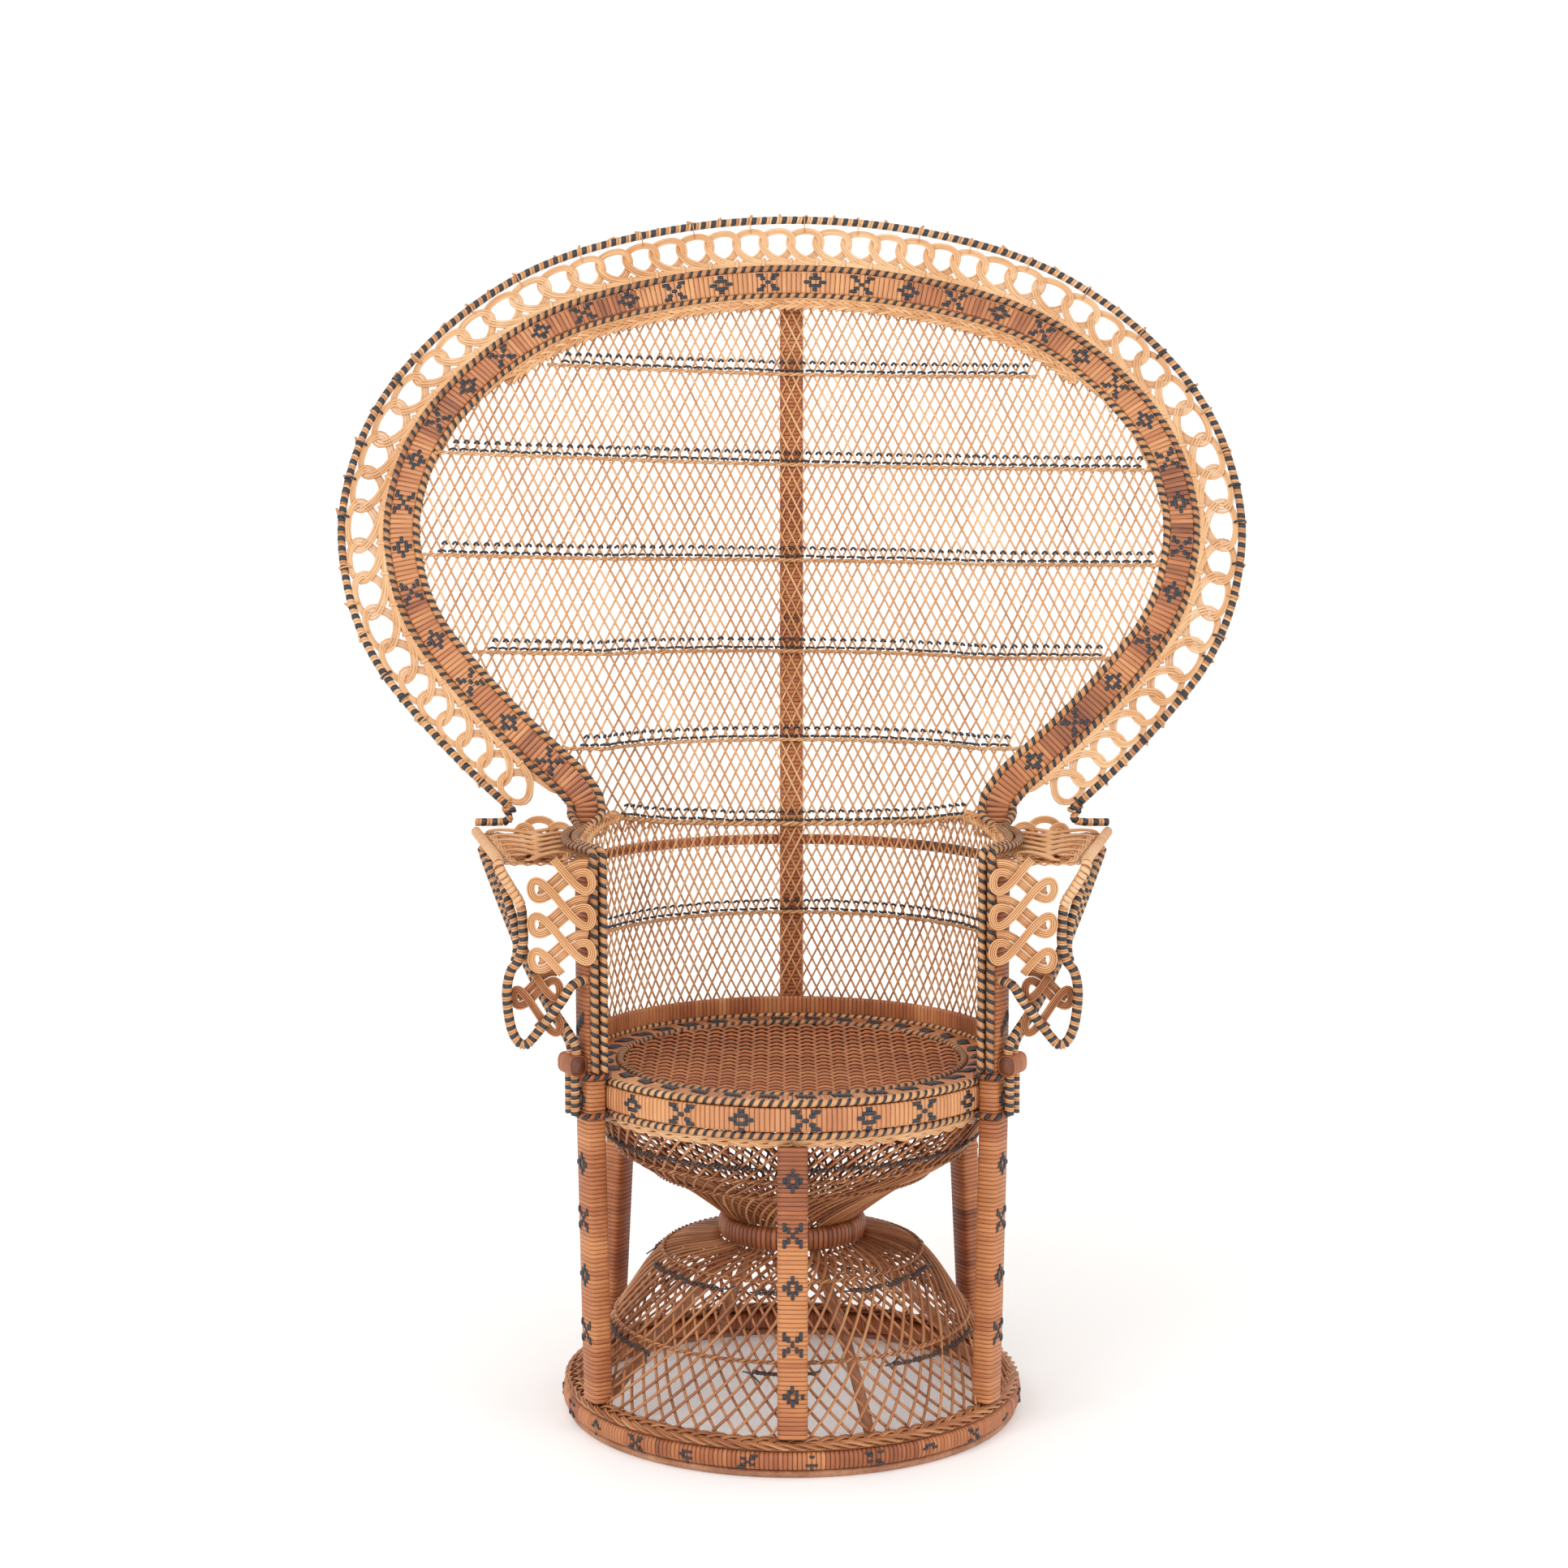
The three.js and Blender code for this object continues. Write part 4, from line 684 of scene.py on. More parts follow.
class ChairSizes(bpy.types.PropertyGroup):
    """Sizes of the canes, strips and ropes."""

    lattice_pitch: FloatProperty(
        name="Lattice Pitch", description="Width of one diamond of the back", default=0.0127,
        unit="LENGTH")
    lattice_cane: FloatProperty(
        name="Lattice Cane", description="Thickness of a cane of the back", default=0.0027, unit="LENGTH")
    hourglass_cane: FloatProperty(
        name="Hourglass Cane", description="Thickness of a cane of the base", default=0.0036,
        unit="LENGTH")
    hourglass_count: IntProperty(
        name="Hourglass Canes", description="Canes leaning each way round the base", default=72)
    wrap_pitch: FloatProperty(
        name="Wrap Pitch", description="Width of one strip wound round a leg", default=0.005,
        unit="LENGTH")
    band_pitch: FloatProperty(
        name="Band Pitch", description="Width of one strip across the hoop's band", default=0.0061,
        unit="LENGTH")
    rope_pitch: FloatProperty(
        name="Rope Pitch", description="Length of one turn of the two-tone braids", default=0.0112,
        unit="LENGTH")
    loop_count: IntProperty(
        name="Loops", description="Loops along the edge of the hoop", default=58)


def colour(name, description, *display):
    """Colour property whose default is given as three display values from 0 to 255."""
    return FloatVectorProperty(
        name=name, description=description, subtype="COLOR", min=0, max=1, default=linear(display))


class ChairColours(bpy.types.PropertyGroup):
    """Colours of the finishes."""

    cane_dark: colour("Cane Dark", "Darkest natural cane", 148, 90, 52)
    cane_middle: colour("Cane Middle", "Usual natural cane", 214, 156, 104)
    cane_light: colour("Cane Light", "Palest natural cane", 246, 208, 162)
    # Darker cane of the lower parts. On the lower arm panel this darker colour is painted shade, as that
    # panel lies behind the upper one.
    lower_cane_dark: colour("Lower Cane Dark", "Darkest cane of the base", 92, 50, 28)
    lower_cane_middle: colour("Lower Cane Middle", "Usual cane of the base", 168, 104, 62)
    lower_cane_light: colour("Lower Cane Light", "Palest cane of the base", 222, 164, 114)
    honey_dark: colour("Honey Dark", "Darkest strip of the bands", 108, 60, 46)
    honey_middle: colour("Honey Middle", "Usual strip of the bands", 190, 120, 78)
    honey_light: colour("Honey Light", "Palest strip of the bands", 226, 164, 110)
    brown_dark: colour("Brown Dark", "Darkest strip of the wrapped poles", 90, 46, 28)
    brown_middle: colour("Brown Middle", "Usual strip of the wrapped poles", 168, 96, 56)
    brown_light: colour("Brown Light", "Palest strip of the wrapped poles", 208, 138, 86)
    pole_dark: colour("Pole Dark", "Dusty bare pole", 120, 74, 50)
    pole_middle: colour("Pole Middle", "Usual bare pole", 172, 118, 86)
    pole_light: colour("Pole Light", "Pale bare pole", 206, 160, 128)
    dye_dark: colour("Dye Dark", "Dyed strips", 18, 20, 25)
    dye_light: colour("Dye Light", "Worn dyed strips", 58, 61, 70)


def size(name):
    """A named size in millimetres."""
    return getattr(bpy.context.scene.chair_sizes, name) / MM


class CHAIR_OT_finishes(bpy.types.Operator):
    """Make the cane, wrapping, braid and pole finishes"""

    bl_idname = "chair.finishes"
    bl_label = "Finishes"

    def execute(self, context):
        make_finishes(context.scene.chair_colours)
        return {"FINISHED"}


class CHAIR_OT_base(bpy.types.Operator):
    """Make the base hoop, its plait and the waist ring"""

    bl_idname = "chair.base"
    bl_label = "Base Hoop"

    def execute(self, context):
        foot = Weave(1)
        foot.strands(circle(BASE_HOOP_RADIUS, FOOT_HEIGHT), oval(*FOOT_SIZE, 12, 0.7), True, tones=0.5)
        foot.done("base_foot_pole", "pole_bare", "bare_pole", "base_hoop")
        hoop = Weave(2)
        rail = circle(BASE_HOOP_RADIUS, BASE_HOOP_HEIGHT)
        hoop.wraps(
            rail, size("wrap_pitch"), BASE_HOOP_SIZE, square=0.6, closed=True, tone=0.62, spread=0.7)
        spacing = length_of(rail) / 24
        kinds = ["footed", "cross"]
        hoop.figures(
            rail, [((i + 0.3) * spacing, kinds[i % 2]) for i in range(24)], (3.6, 3.4), 13.4, 3.0, 1.0, 0.3)
        hoop.done("base_hoop_wrapping", "wrap_brown", "brown_wrap", "base_hoop")
        plait = Weave(3)
        rail = circle(BASE_HOOP_RADIUS, BASE_PLAIT_HEIGHT, (0.25, 1))
        plait.plait(rail, 92, 8.0, 2.6, (3.3, 2.6), 5, 2, 18)
        plait.strands(shifted(rail, 0, -3.2, True), oval(21, 4, 8, 0.7), True, tones=0.0)
        plait.done("base_plait_cords", "cane_lower", "natural_cane", "base_plait")
        waist = Weave(4)
        waist.wraps(
            circle(WAIST_RADIUS, WAIST_HEIGHT), 5.6, WAIST_SIZE, square=0.7, closed=True, tone=0.6)
        waist.done("waist_wrapping", "wrap_brown", "honey_wrap", "waist_ring")
        return {"FINISHED"}


class CHAIR_OT_hourglass(bpy.types.Operator):
    """Make the open dome and funnel of the base, their twined rings and the inner struts"""

    bl_idname = "chair.hourglass"
    bl_label = "Hourglass"

    def profile(self, levels):
        """Rail along a level line, in radius and height, with its outward direction."""
        line = smooth([(radius, 0, height) for radius, height in levels], 60)
        across, _, up = np.gradient(line, axis=0).T
        return line, unit(np.stack([np.abs(up), 0 * across, -across * np.sign(up)], -1))

    def net(self, weave, levels, twist, count, cane):
        line, out = self.profile(levels)
        share = np.linspace(0, 1, 26)
        line, out = [evenly(np.hstack([line, out]), 26)[:, part] for part in (slice(0, 3), slice(3, 6))]
        rails = []
        for hand, layer in ((1, 0.9), (-1, -0.9)):
            for k in range(count):
                wander = weave.draw.normal(0, 0.006)
                angle = 2 * math.pi * (k + 0.5) / count + hand * (share - 0.5) * twist + wander
                radius = line[:, 0] + out[:, 0] * layer * cane * 0.5
                height = line[:, 2] + out[:, 2] * layer * cane * 0.5
                outs = around(out[:, 0], angle, out[:, 2])
                rails.append(np.hstack([around(radius, angle, height), outs]))
        weave.strands(rails, oval(cane, cane * 0.9, 6, 1))

    def ring(self, levels, share, raised, start=0.0, end=2 * math.pi):
        line, out = self.profile(levels)
        at = evenly(np.hstack([line, out]), 101)[round(share * 100)]
        stations = 181 if end - start > 6 else ARC_STATIONS
        return circle(at[0] + at[3] * raised, at[2] + at[5] * raised, (at[3], at[5]), stations, start, end)

    def twine(self, name, levels, natural, dyed, arcs, node, draw):
        """Natural twined rows round the net, and dyed ones of which only arcs are left."""
        weave = Weave(draw)
        for share in natural:
            weave.rope(self.ring(levels, share, 3.2), 17, 1.5, [(3.0, 2.6, 0)] * 2, True, core=False)
        for start, end in arcs:
            for raised, pitch in ((3.4, 14), (2.4, 10)):
                breaks = np.linspace(start, end, max(2, round((end - start) / 13)))
                for first, last in zip(breaks, breaks[1:]):
                    reach = weave.draw.uniform(0.7, 1.08)
                    last = first + (last - first) * reach
                    rail = self.ring(levels, dyed, raised, first * DEGREE, last * DEGREE)
                    share = np.linspace(0, 1, ARC_STATIONS)
                    sway = np.interp(share, np.linspace(0, 1, 5), weave.draw.normal(0, 1.3, 5))
                    strips = [(2.1, 1.8, 0.85)] * 2
                    weave.rope(shifted(rail, sway, 0), pitch, 1.7, strips, steps=6, core=False)
            for at in (start, end):
                rail = self.ring(levels, dyed, 3.4, (at - 3) * DEGREE, (at + 3) * DEGREE)[::6]
                droop = np.linspace(0, 1, len(rail)) ** 2 * weave.draw.normal(0, 9)
                weave.strands(shifted(rail, droop, np.abs(droop) * 0.3), oval(2, 1.6, 5, 1), dye=1)
        weave.done(name, "cane_lower", "two_tone_braid", node)

    def execute(self, context):
        cane, count = size("hourglass_cane"), context.scene.chair_sizes.hourglass_count
        dome = Weave(11)
        self.net(dome, DOME_LEVELS, 0.8, count, cane)
        dome.done("dome_canes", "cane_lower", "natural_cane", "lower_dome")
        funnel = Weave(12)
        self.net(funnel, FUNNEL_LEVELS, 0.9, count, cane * 0.92)
        funnel.done("funnel_canes", "cane_lower", "natural_cane", "upper_funnel")
        self.twine("dome_upper_twining", DOME_LEVELS, [0.72], 0.66,
                   [(-76, -26), (-14, -3), (24, 74), (110, 170), (200, 262)], "dome_twine_upper", 13)
        self.twine("dome_lower_twining", DOME_LEVELS, [0.34], 0.29,
                   [(-84, -50), (-12, 6), (32, 76), (120, 190), (215, 250)], "dome_twine_lower", 14)
        self.twine("funnel_twining", FUNNEL_LEVELS, [0.74, 0.5], 0.84,
                   [(-170, -95), (-88, -8), (-2, 84), (92, 172)], "funnel_twine", 15)
        for i in range(4):
            angle = 22 * DEGREE + i * math.pi / 2
            line = smooth(around([68, 160, 245], angle + np.array([0, 0.02, 0]), [203, 110, 14]), 40)
            weave = Weave(20 + i)
            off_knuckle = np.abs((np.linspace(0, 1, 40) * 3.2 + 0.3 * i) % 1 - 0.5)
            weave.strands(facing(line, around(1, angle, 1)), oval(13, 13, 10, 1), tones=0.4)
            for spot in range(1, 39):
                if off_knuckle[spot] < KNUCKLE_REACH:
                    ring = line[spot - 1:spot + 2]
                    weave.strands(facing(ring, around(1, angle, 1)), oval(14, 14, 10, 1), tones=0.3)
            weave.done(f"strut_pole_{i + 1}", "pole_bare", "brown_wrap", f"inner_strut_{i + 1}")
        return {"FINISHED"}


class CHAIR_OT_legs(bpy.types.Operator):
    """Make the wrapped legs, arm posts and spine"""

    bl_idname = "chair.legs"
    bl_label = "Legs and Posts"

    def upright(self, seed, name, points, out, bar, node, spots=(), collars=()):
        weave = Weave(seed)
        line = evenly(np.asarray(points, float), 80)
        rail = facing(line, out)
        weave.wraps(rail, size("wrap_pitch"), bar, slant=0.8, square=0.42, tone=0.68, spread=0.75)
        if spots:
            spots = [(z - line[0, 2], kind) for z, kind in spots]
            weave.figures(rail, spots, (4.7, 4.6), bar[1] / 2 + 0.3, 4.3, 1.6)
        for height, grown in collars:
            at = at_distances(rail, [height - line[0, 2]])[0]
            outline = oval(bar[0] + grown, bar[1] + grown, 24, 0.5)
            outline = np.vstack([outline, outline[:1]])
            side = unit(np.cross((0, 0, 1), at[3:]))
            ring = at[:3] + side * outline[:, :1] + at[3:] * outline[:, 1:]
            outs = unit(side * outline[:, :1] + at[3:] * outline[:, 1:])
            ring = joined(evenly(np.hstack([ring, outs]), 97))
            weave.rope(ring, size("rope_pitch"), 2.5, [(5.4, 3.4, 0), (4.4, 3.4, 1)], True)
        weave.done(name, "wrap_brown", "honey_wrap", node)

    def execute(self, context):
        ends = [(LEG_FOOT_RADIUS, LEG_FOOT), (LEG_HEAD_RADIUS, LEG_HEAD)]
        front = [(330.7, "diamond"), (270.3, "cross"), (212.7, "diamond"), (149.6, "cross"), (92, "footed")]
        for seed, name, angle in (
            (31, "front_leg", 0), (32, "rear_leg_right", 120 * DEGREE),
            (33, "rear_leg_left", -120 * DEGREE),
        ):
            points = [around(radius, angle, height) for radius, height in ends]
            self.upright(seed, f"{name}_wrapping", points, around(1, angle, 0), LEG_SIZE, name, front)
        for seed, side, angle in ((34, "right", POST_ANGLE), (35, "left", -POST_ANGLE)):
            points = [
                around(LEG_FOOT_RADIUS, angle, LEG_FOOT), around(POST_RADIUS, angle, LEG_HEAD),
                around(POST_RADIUS, angle, POST_TOP)]
            spots = [(322, "diamond"), (258, "cross"), (192, "diamond"), (126, "cross"), (397, "diamond"),
                     (482, "arrow")]
            self.upright(
                seed, f"arm_post_{side}_wrapping", points, around(1, angle, 0), LEG_SIZE,
                f"arm_post_{side}", spots, collars=[(424, 6.5), (379, 6.5)])
        self.upright(36, "spine_wrapping", spine_path(), (0, 1, 0), SPINE_SIZE, "spine")
        return {"FINISHED"}


class CHAIR_OT_seat(bpy.types.Operator):
    """Make the apron, the braids, the border and the woven seat"""

    bl_idname = "chair.seat"
    bl_label = "Seat"

    def two_tone(self, seed, name, rail, node, thickness=8.4):
        weave = Weave(seed)
        pitch = size("rope_pitch") * 0.94
        weave.rope(rail, pitch, thickness * 0.33, [
            (pitch * 0.62, thickness * 0.4, 0), (pitch * 0.38, thickness * 0.42, 1)], True)
        weave.done(name, "braid_two_tone", "two_tone_braid", node)

    def execute(self, context):
        self.two_tone(41, "rim_braid_cord", circle(RIM_BRAID_RADIUS, 415.5), "rim_braid")
        self.two_tone(42, "apron_braid_cord", circle(RIM_BRAID_RADIUS, 378.9), "apron_lower_braid")
        self.two_tone(43, "seat_braid_cord", circle(201.4, 414.6), "seat_braid", 8.2)
        apron = Weave(44)
        rail = circle(APRON_RADIUS, 397.2, start=-0.1, end=2 * math.pi - 0.1)
        apron.wraps(rail, 5.6, (27, 7), closed=True, square=0.4, tone=0.72, spread=0.35)
        step = length_of(rail) / 22
        kinds = ["cross", "footed"]
        apron.figures(
            rail, [((i + 0.55) * step, kinds[i % 2]) for i in range(22)], (5.7, 4.8), 3.6, 4.9, 1.7)
        apron.done("apron_wrapping", "wrap_honey", "honey_wrap", "apron_band")
        under = Weave(45)
        rail = circle(237, 370.1, (1, -0.6))
        under.plait(rail, 96, 4.6, 2.3, (3, 2.8), 4, 2, 18)
        under.strands(shifted(rail, 0, -2.4, True), oval(10, 3, 8, 0.7), True, tones=0.1)
        under.done("under_seat_plait", "cane_natural", "natural_cane", "under_plait")
        self.border()
        self.panel()
        return {"FINISHED"}

    def border(self):
        """Strips fanned across the border, with dyed feathers slanting over them."""
        weave = Weave(46)
        rail = circle(BORDER_RADIUS, 414, (0, 1))
        weave.wraps(rail, 5.2, (33.5, 5.6), closed=True, square=0.55, tone=0.6, spread=0.6)
        count = 34
        feathers = []
        for k in range(count):
            for i in range(6):
                angle = 2 * math.pi * (k + 0.35) / count + (i - 2.5) * 0.0156
                angle = angle + np.linspace(-0.006, 0.006, 5)
                start = -14 + i * 0.7 + weave.draw.normal(0, 0.6)
                away = np.linspace(start, start + 14.5, 5)
                height = 418 - np.array([1.2, 0.1, 0, 0.1, 1.2]) - 1.4 * (away / 16) ** 4
                feathers.append(facing(around(BORDER_RADIUS + away, angle, height), (0, 0, 1)))
        weave.strands(feathers, oval(3.5, 1.6, 6, 0.6), dye=1)
        weave.done("seat_border_wrapping", "wrap_honey", "honey_wrap", "seat_border")

    def panel(self):
        """Strips woven from side to side over stakes that run from front to back. Under the stakes lies a
        dark layer of wide strips, which is painted shade seen through the holes.
        """
        weave = Weave(47)
        pitch, stake = 9.6, 18.4

        def dished(x, y):
            return WEAVE_HEIGHT - SEAT_SAG * (1 - (x ** 2 + y ** 2) / SEAT_RADIUS ** 2)

        wefts = []
        for j, y in enumerate(np.arange(-SEAT_RADIUS + 6, SEAT_RADIUS - 4, pitch)):
            half = math.sqrt(SEAT_RADIUS ** 2 - y ** 2)
            x = np.linspace(-half, half, 121)
            wave = np.cos(math.pi * (x / stake + j))
            wefts.append(facing(np.stack([x, y + 0.5 * wave, dished(x, y) + 2.4 * wave], -1), (0, 0, 1)))
        tones = weave.draw.uniform(0.5, 0.8, len(wefts))
        weave.strands(wefts, oval(pitch * 0.68, 2.4, 6, 0.8), tones=tones)
        # The second layer, wide dark strips (tone 0) just under the holes, is painted shade seen through
        # the weave.
        for first, drop, wide, tone in ((-10, 0, 8, 0.5), (-10.5, 5, 17.6, 0.0)):
            stakes = []
            for x in np.arange(first, 11) * stake:
                half = math.sqrt(SEAT_RADIUS ** 2 - x ** 2)
                y = np.linspace(-half, half, 60)
                stakes.append(facing(np.stack([x + 0 * y, y, dished(x, y) - drop], -1), (0, 0, 1)))
            weave.strands(stakes, oval(wide, 1.6, 6, 0.8), tones=tone)
        weave.done("seat_weave", "wrap_brown", "natural_cane", "woven_seat")


class CHAIR_OT_wall(bpy.types.Operator):
    """Make the half-round wall, its rail and its twined rows"""

    bl_idname = "chair.wall"
    bl_label = "Wall"

    def execute(self, context):
        start, end = math.pi - WALL_HALF_TURN, math.pi + WALL_HALF_TURN
        band = Weave(51)
        band.wraps(
            circle(APRON_RADIUS, 429.1, None, 121, start, end), 5.4, (22.4, 7), square=0.4, tone=0.56,
            spread=0.6)
        band.done("wall_band_wrapping", "wrap_honey", "honey_wrap", "wall_band")
        rail = Weave(52)
        rail.wraps(
            circle(255.8, 637.7, None, 121, start - 0.03, end + 0.03), 6, (13, 13), square=1, points=12)
        rail.done("back_rail_wrapping", "wrap_brown", "bare_pole", "back_rail")
        net = Weave(53)
        pitch, cane = size("lattice_pitch"), size("lattice_cane")
        low, high = WALL_NET
        rails = []
        half = WALL_HALF_TURN * WALL_RADIUS
        reach = (high - low) * LATTICE_LEAN
        for hand, ahead in ((1, -0.5), (-1, 0.5)):
            for base in np.arange(-half - reach, half + reach, pitch):
                base = base + net.draw.normal(0, 0.5)
                height = np.linspace(low, high, 125)
                run = base + hand * (height - low) * LATTICE_LEAN
                inside = (np.abs(run) < half) & (height < wall_top(math.pi + run / WALL_RADIUS) + 2)
                if inside.sum() < 6:
                    continue
                run, height = [np.linspace(*line[inside][[0, -1]], 14) for line in (run, height)]
                angle = math.pi + run / WALL_RADIUS
                radius = WALL_RADIUS - ahead * cane
                rails.append(np.hstack([around(radius, angle, height), -around(1, angle, 0)]))
        net.strands(rails, oval(cane, cane * 0.9, 6, 1))
        net.done("wall_canes", "cane_natural", "natural_cane", "wall_lattice")
        lower = circle(242.2, 547.5, (-1, 0), 161, start, end)
        twined_row(54, "wall_twining", lower, "twined_row_7")
        self.top_row(start, end)
        return {"FINISHED"}

    def top_row(self, start, end):
        """The twined row along the wall's top, which ends in a plait down to each arm post."""
        turn = np.linspace(math.pi - 62 * DEGREE, math.pi + 62 * DEGREE, 161)
        upper = np.hstack([around(243.0, turn, wall_top(turn)), -around(1, turn, 0)])
        weave = twined(55, upper, 1.5)
        for first, last in ((start, math.pi - 58 * DEGREE), (end, math.pi + 58 * DEGREE)):
            turn = np.linspace(first, last, 60)
            rail = np.hstack([around(242.5, turn, wall_top(turn) + 1), -around(1, turn, -0.6)])
            weave.herringbone(rail, 10, 7, 21, (4.2, 2.4), 2.2)
            weave.strands(shifted(rail, 0, -1.8), oval(10, 3, 8, 0.8), tones=0.2)
        weave.done("wall_top_twining", "cane_natural", "two_tone_braid", "twined_row_6")


def wall_top(angle):
    """Height of the wall's woven top, which rises beside the neck of the hoop."""
    turn = np.abs(angle - math.pi) / DEGREE
    return np.interp(turn, [0, 20, 40, 60, 70, 85, 116], [658.5, 661, 669, 683, 680, 670, 662])


def twined(seed, rail, growth=1.0):
    """A twined rope under dyed dashes and caps that tie the canes in pairs."""
    weave = Weave(seed)
    pitch = size("lattice_pitch")
    side = frames(rail)[1]
    up = 1 if side[len(side) // 2][2] > 0 else -1
    weave.rope(rail, 20, 1.35 * growth, [(2.9 * growth, 2.9 * growth, 0)] * 2, core=False)
    turns = turns_of(rail, pitch)
    line = evenly(rail, turns * 8 + 1)
    turn = 2 * math.pi * turns * np.linspace(0, 1, len(line))
    jitter = np.interp(turn, np.linspace(0, turn[-1], 90), weave.draw.normal(0, 0.35, 90))
    dashes = shifted(line, up * (4.8 + jitter), 2.4 * np.sin(turn) + growth - 0.6)
    caps = shifted(line, up * (13.6 + 2.6 * np.cos(turn) + jitter), 2.9 * np.cos(turn) - 0.4)
    for rows, first, reach in ((dashes, -1, 7), (caps, -2, 5)):
        starts = np.arange(1, turns - 1) * 8 + first
        weave.strands([rows[at:at + reach] for at in starts], oval(3.1, 2.1, 5, 1), dye=1)
    return weave


def twined_row(seed, name, rail, node):
    twined(seed, rail).done(name, "cane_natural", "two_tone_braid", node)


class CHAIR_OT_fan(bpy.types.Operator):
    """Make the open lattice of the fan back and its twined rows"""

    bl_idname = "chair.fan"
    bl_label = "Fan"

    def execute(self, context):
        pitch, cane = size("lattice_pitch"), size("lattice_cane")
        weave = Weave(61)
        middle = (POST_TOP + HOOP_TOP) / 2
        rails = []
        for hand, ahead in ((1, -0.5), (-1, 0.5)):
            for base in np.arange(-70, 70.5) * pitch:
                base = base + weave.draw.normal(0, 0.45)
                height = np.linspace(POST_TOP - 3, HOOP_TOP, 640)
                x = base + hand * (height - middle) * LATTICE_LEAN
                starts = np.where(np.abs(x) < NECK_HALF_WIDTH, POST_TOP, fan_foot(np.abs(x))) - 3
                inside = (np.abs(x) < fan_half_width(height)) & (height > starts)
                if inside.sum() < 12:
                    continue
                low, high = height[inside][[0, -1]]
                height = np.linspace(low, high, 34)
                bow = weave.draw.normal(0, 0.7) * np.sin(np.linspace(0, 5, 34))
                x = base + hand * (height - middle) * LATTICE_LEAN + bow
                rails.append(fan_place(x, height, ahead * cane))
        weave.strands(rails, oval(cane, cane * 0.9, 6, 1))
        weave.done("fan_canes", "cane_natural", "natural_cane", "fan_lattice")
        for i, (height, tilt, share) in enumerate(FAN_ROWS):
            half = float(fan_half_width(np.array(height))) - 3
            x = np.linspace(half * share, -half * share, 300)
            z = height + tilt * x + 4 * (x / half) ** 2
            twined_row(62 + i, f"fan_twining_{i + 1}", fan_place(x, z, 3.6), f"twined_row_{i + 1}")
        return {"FINISHED"}


class CHAIR_OT_hoop(bpy.types.Operator):
    """Make the hoop's band, its two braids and the plait under its top"""

    bl_idname = "chair.hoop"
    bl_label = "Hoop"

    def braid_path(self, away, track):
        """The braid's middle line down the right side: off the hoop, along the arm and down the post."""
        start = hoop_place(0.985, away)[:3]
        on_arm = ARM_TOP + 5.3
        neck = math.pi - math.asin(0.92)
        arm = []
        for share in (0.2, 0.4, 0.62, 0.84):
            angle = neck + (POST_ANGLE - neck) * share
            radius = WALL_RADIUS + (POST_RADIUS - WALL_RADIUS) * share ** 2 + track
            arm.append(around(radius, angle, on_arm))
        beside = -5.6 + track
        bend = hoop_place(1.0, away)[:3]
        return smooth([
            start, (bend[0], bend[1] - 10, on_arm + 10), *arm, post_place(beside, 12.3, on_arm),
            post_place(beside, 22.3, ARM_TOP), post_place(beside, 22.3, ARM_TOP - 10),
            post_place(beside, 22.3, 560), post_place(beside, 22.3, 430.5)], 260)

    def braid(self, seed, name, away, track, node):
        weave = Weave(seed)
        right = self.braid_path(away, track)
        left = right[::-1] * [-1, 1, 1]
        top = hoop_rail(away, 0, 0.015, 0.985, 700)[:, :3]
        line = evenly(np.vstack([left[:-1], top, right[1:]]), 1600)
        rail = carried(line, (0.3, -1, 0.2))
        pitch = size("rope_pitch")
        weave.rope(rail, pitch, 3.3, [(pitch * 0.62, 3.6, 0), (pitch * 0.38, 3.8, 1)])
        weave.done(name, "braid_two_tone", "two_tone_braid", node)

    def execute(self, context):
        self.braid(71, "inner_hoop_braid", 0, 0, "hoop_inner_braid")
        self.braid(72, "outer_hoop_braid", OUTER_BRAID_AWAY, 11.2, "hoop_outer_braid")
        band = Weave(73)
        rail = hoop_rail(BAND_AWAY, 0, 0.0, 1.0, 700)
        band.wraps(rail, size("band_pitch"), BAND_SIZE, square=0.35, tone=0.58, spread=0.85)
        middle, step = length_of(rail) / 2, 59.0
        spots = []
        for k in range(24):
            away = step * (k + 0.5) + 9 * max(0, k - 12)
            for side, kinds in ((1, ("diamond", "cross")), (-1, ("cross", "diamond"))):
                if away < middle - 40:
                    spots.append((middle + side * away, kinds[k % 2]))
        band.figures(rail, spots, (5.1, 4.8), 4.1, 4.6, 1.6)
        band.done("hoop_band_wrapping", "wrap_honey", "honey_wrap", "hoop_band")
        plait = Weave(74)
        rail = hoop_rail(-12.5, 4.2, 0.315, 0.685, 300)
        plait.herringbone(rail, 10.5, 6.6, 21, (4.4, 2.4), 2.2)
        plait.strands(shifted(rail, 0, -1.5), oval(9, 3, 8, 0.8), tones=0.1)
        plait.rope(hoop_rail(-6.4, 5.5, 0.3, 0.7, 300), 24, 1.3, [(3.0, 2.4, 0)] * 3, core=False)
        plait.done("top_plait_canes", "cane_natural", "natural_cane", "top_plait")
        return {"FINISHED"}


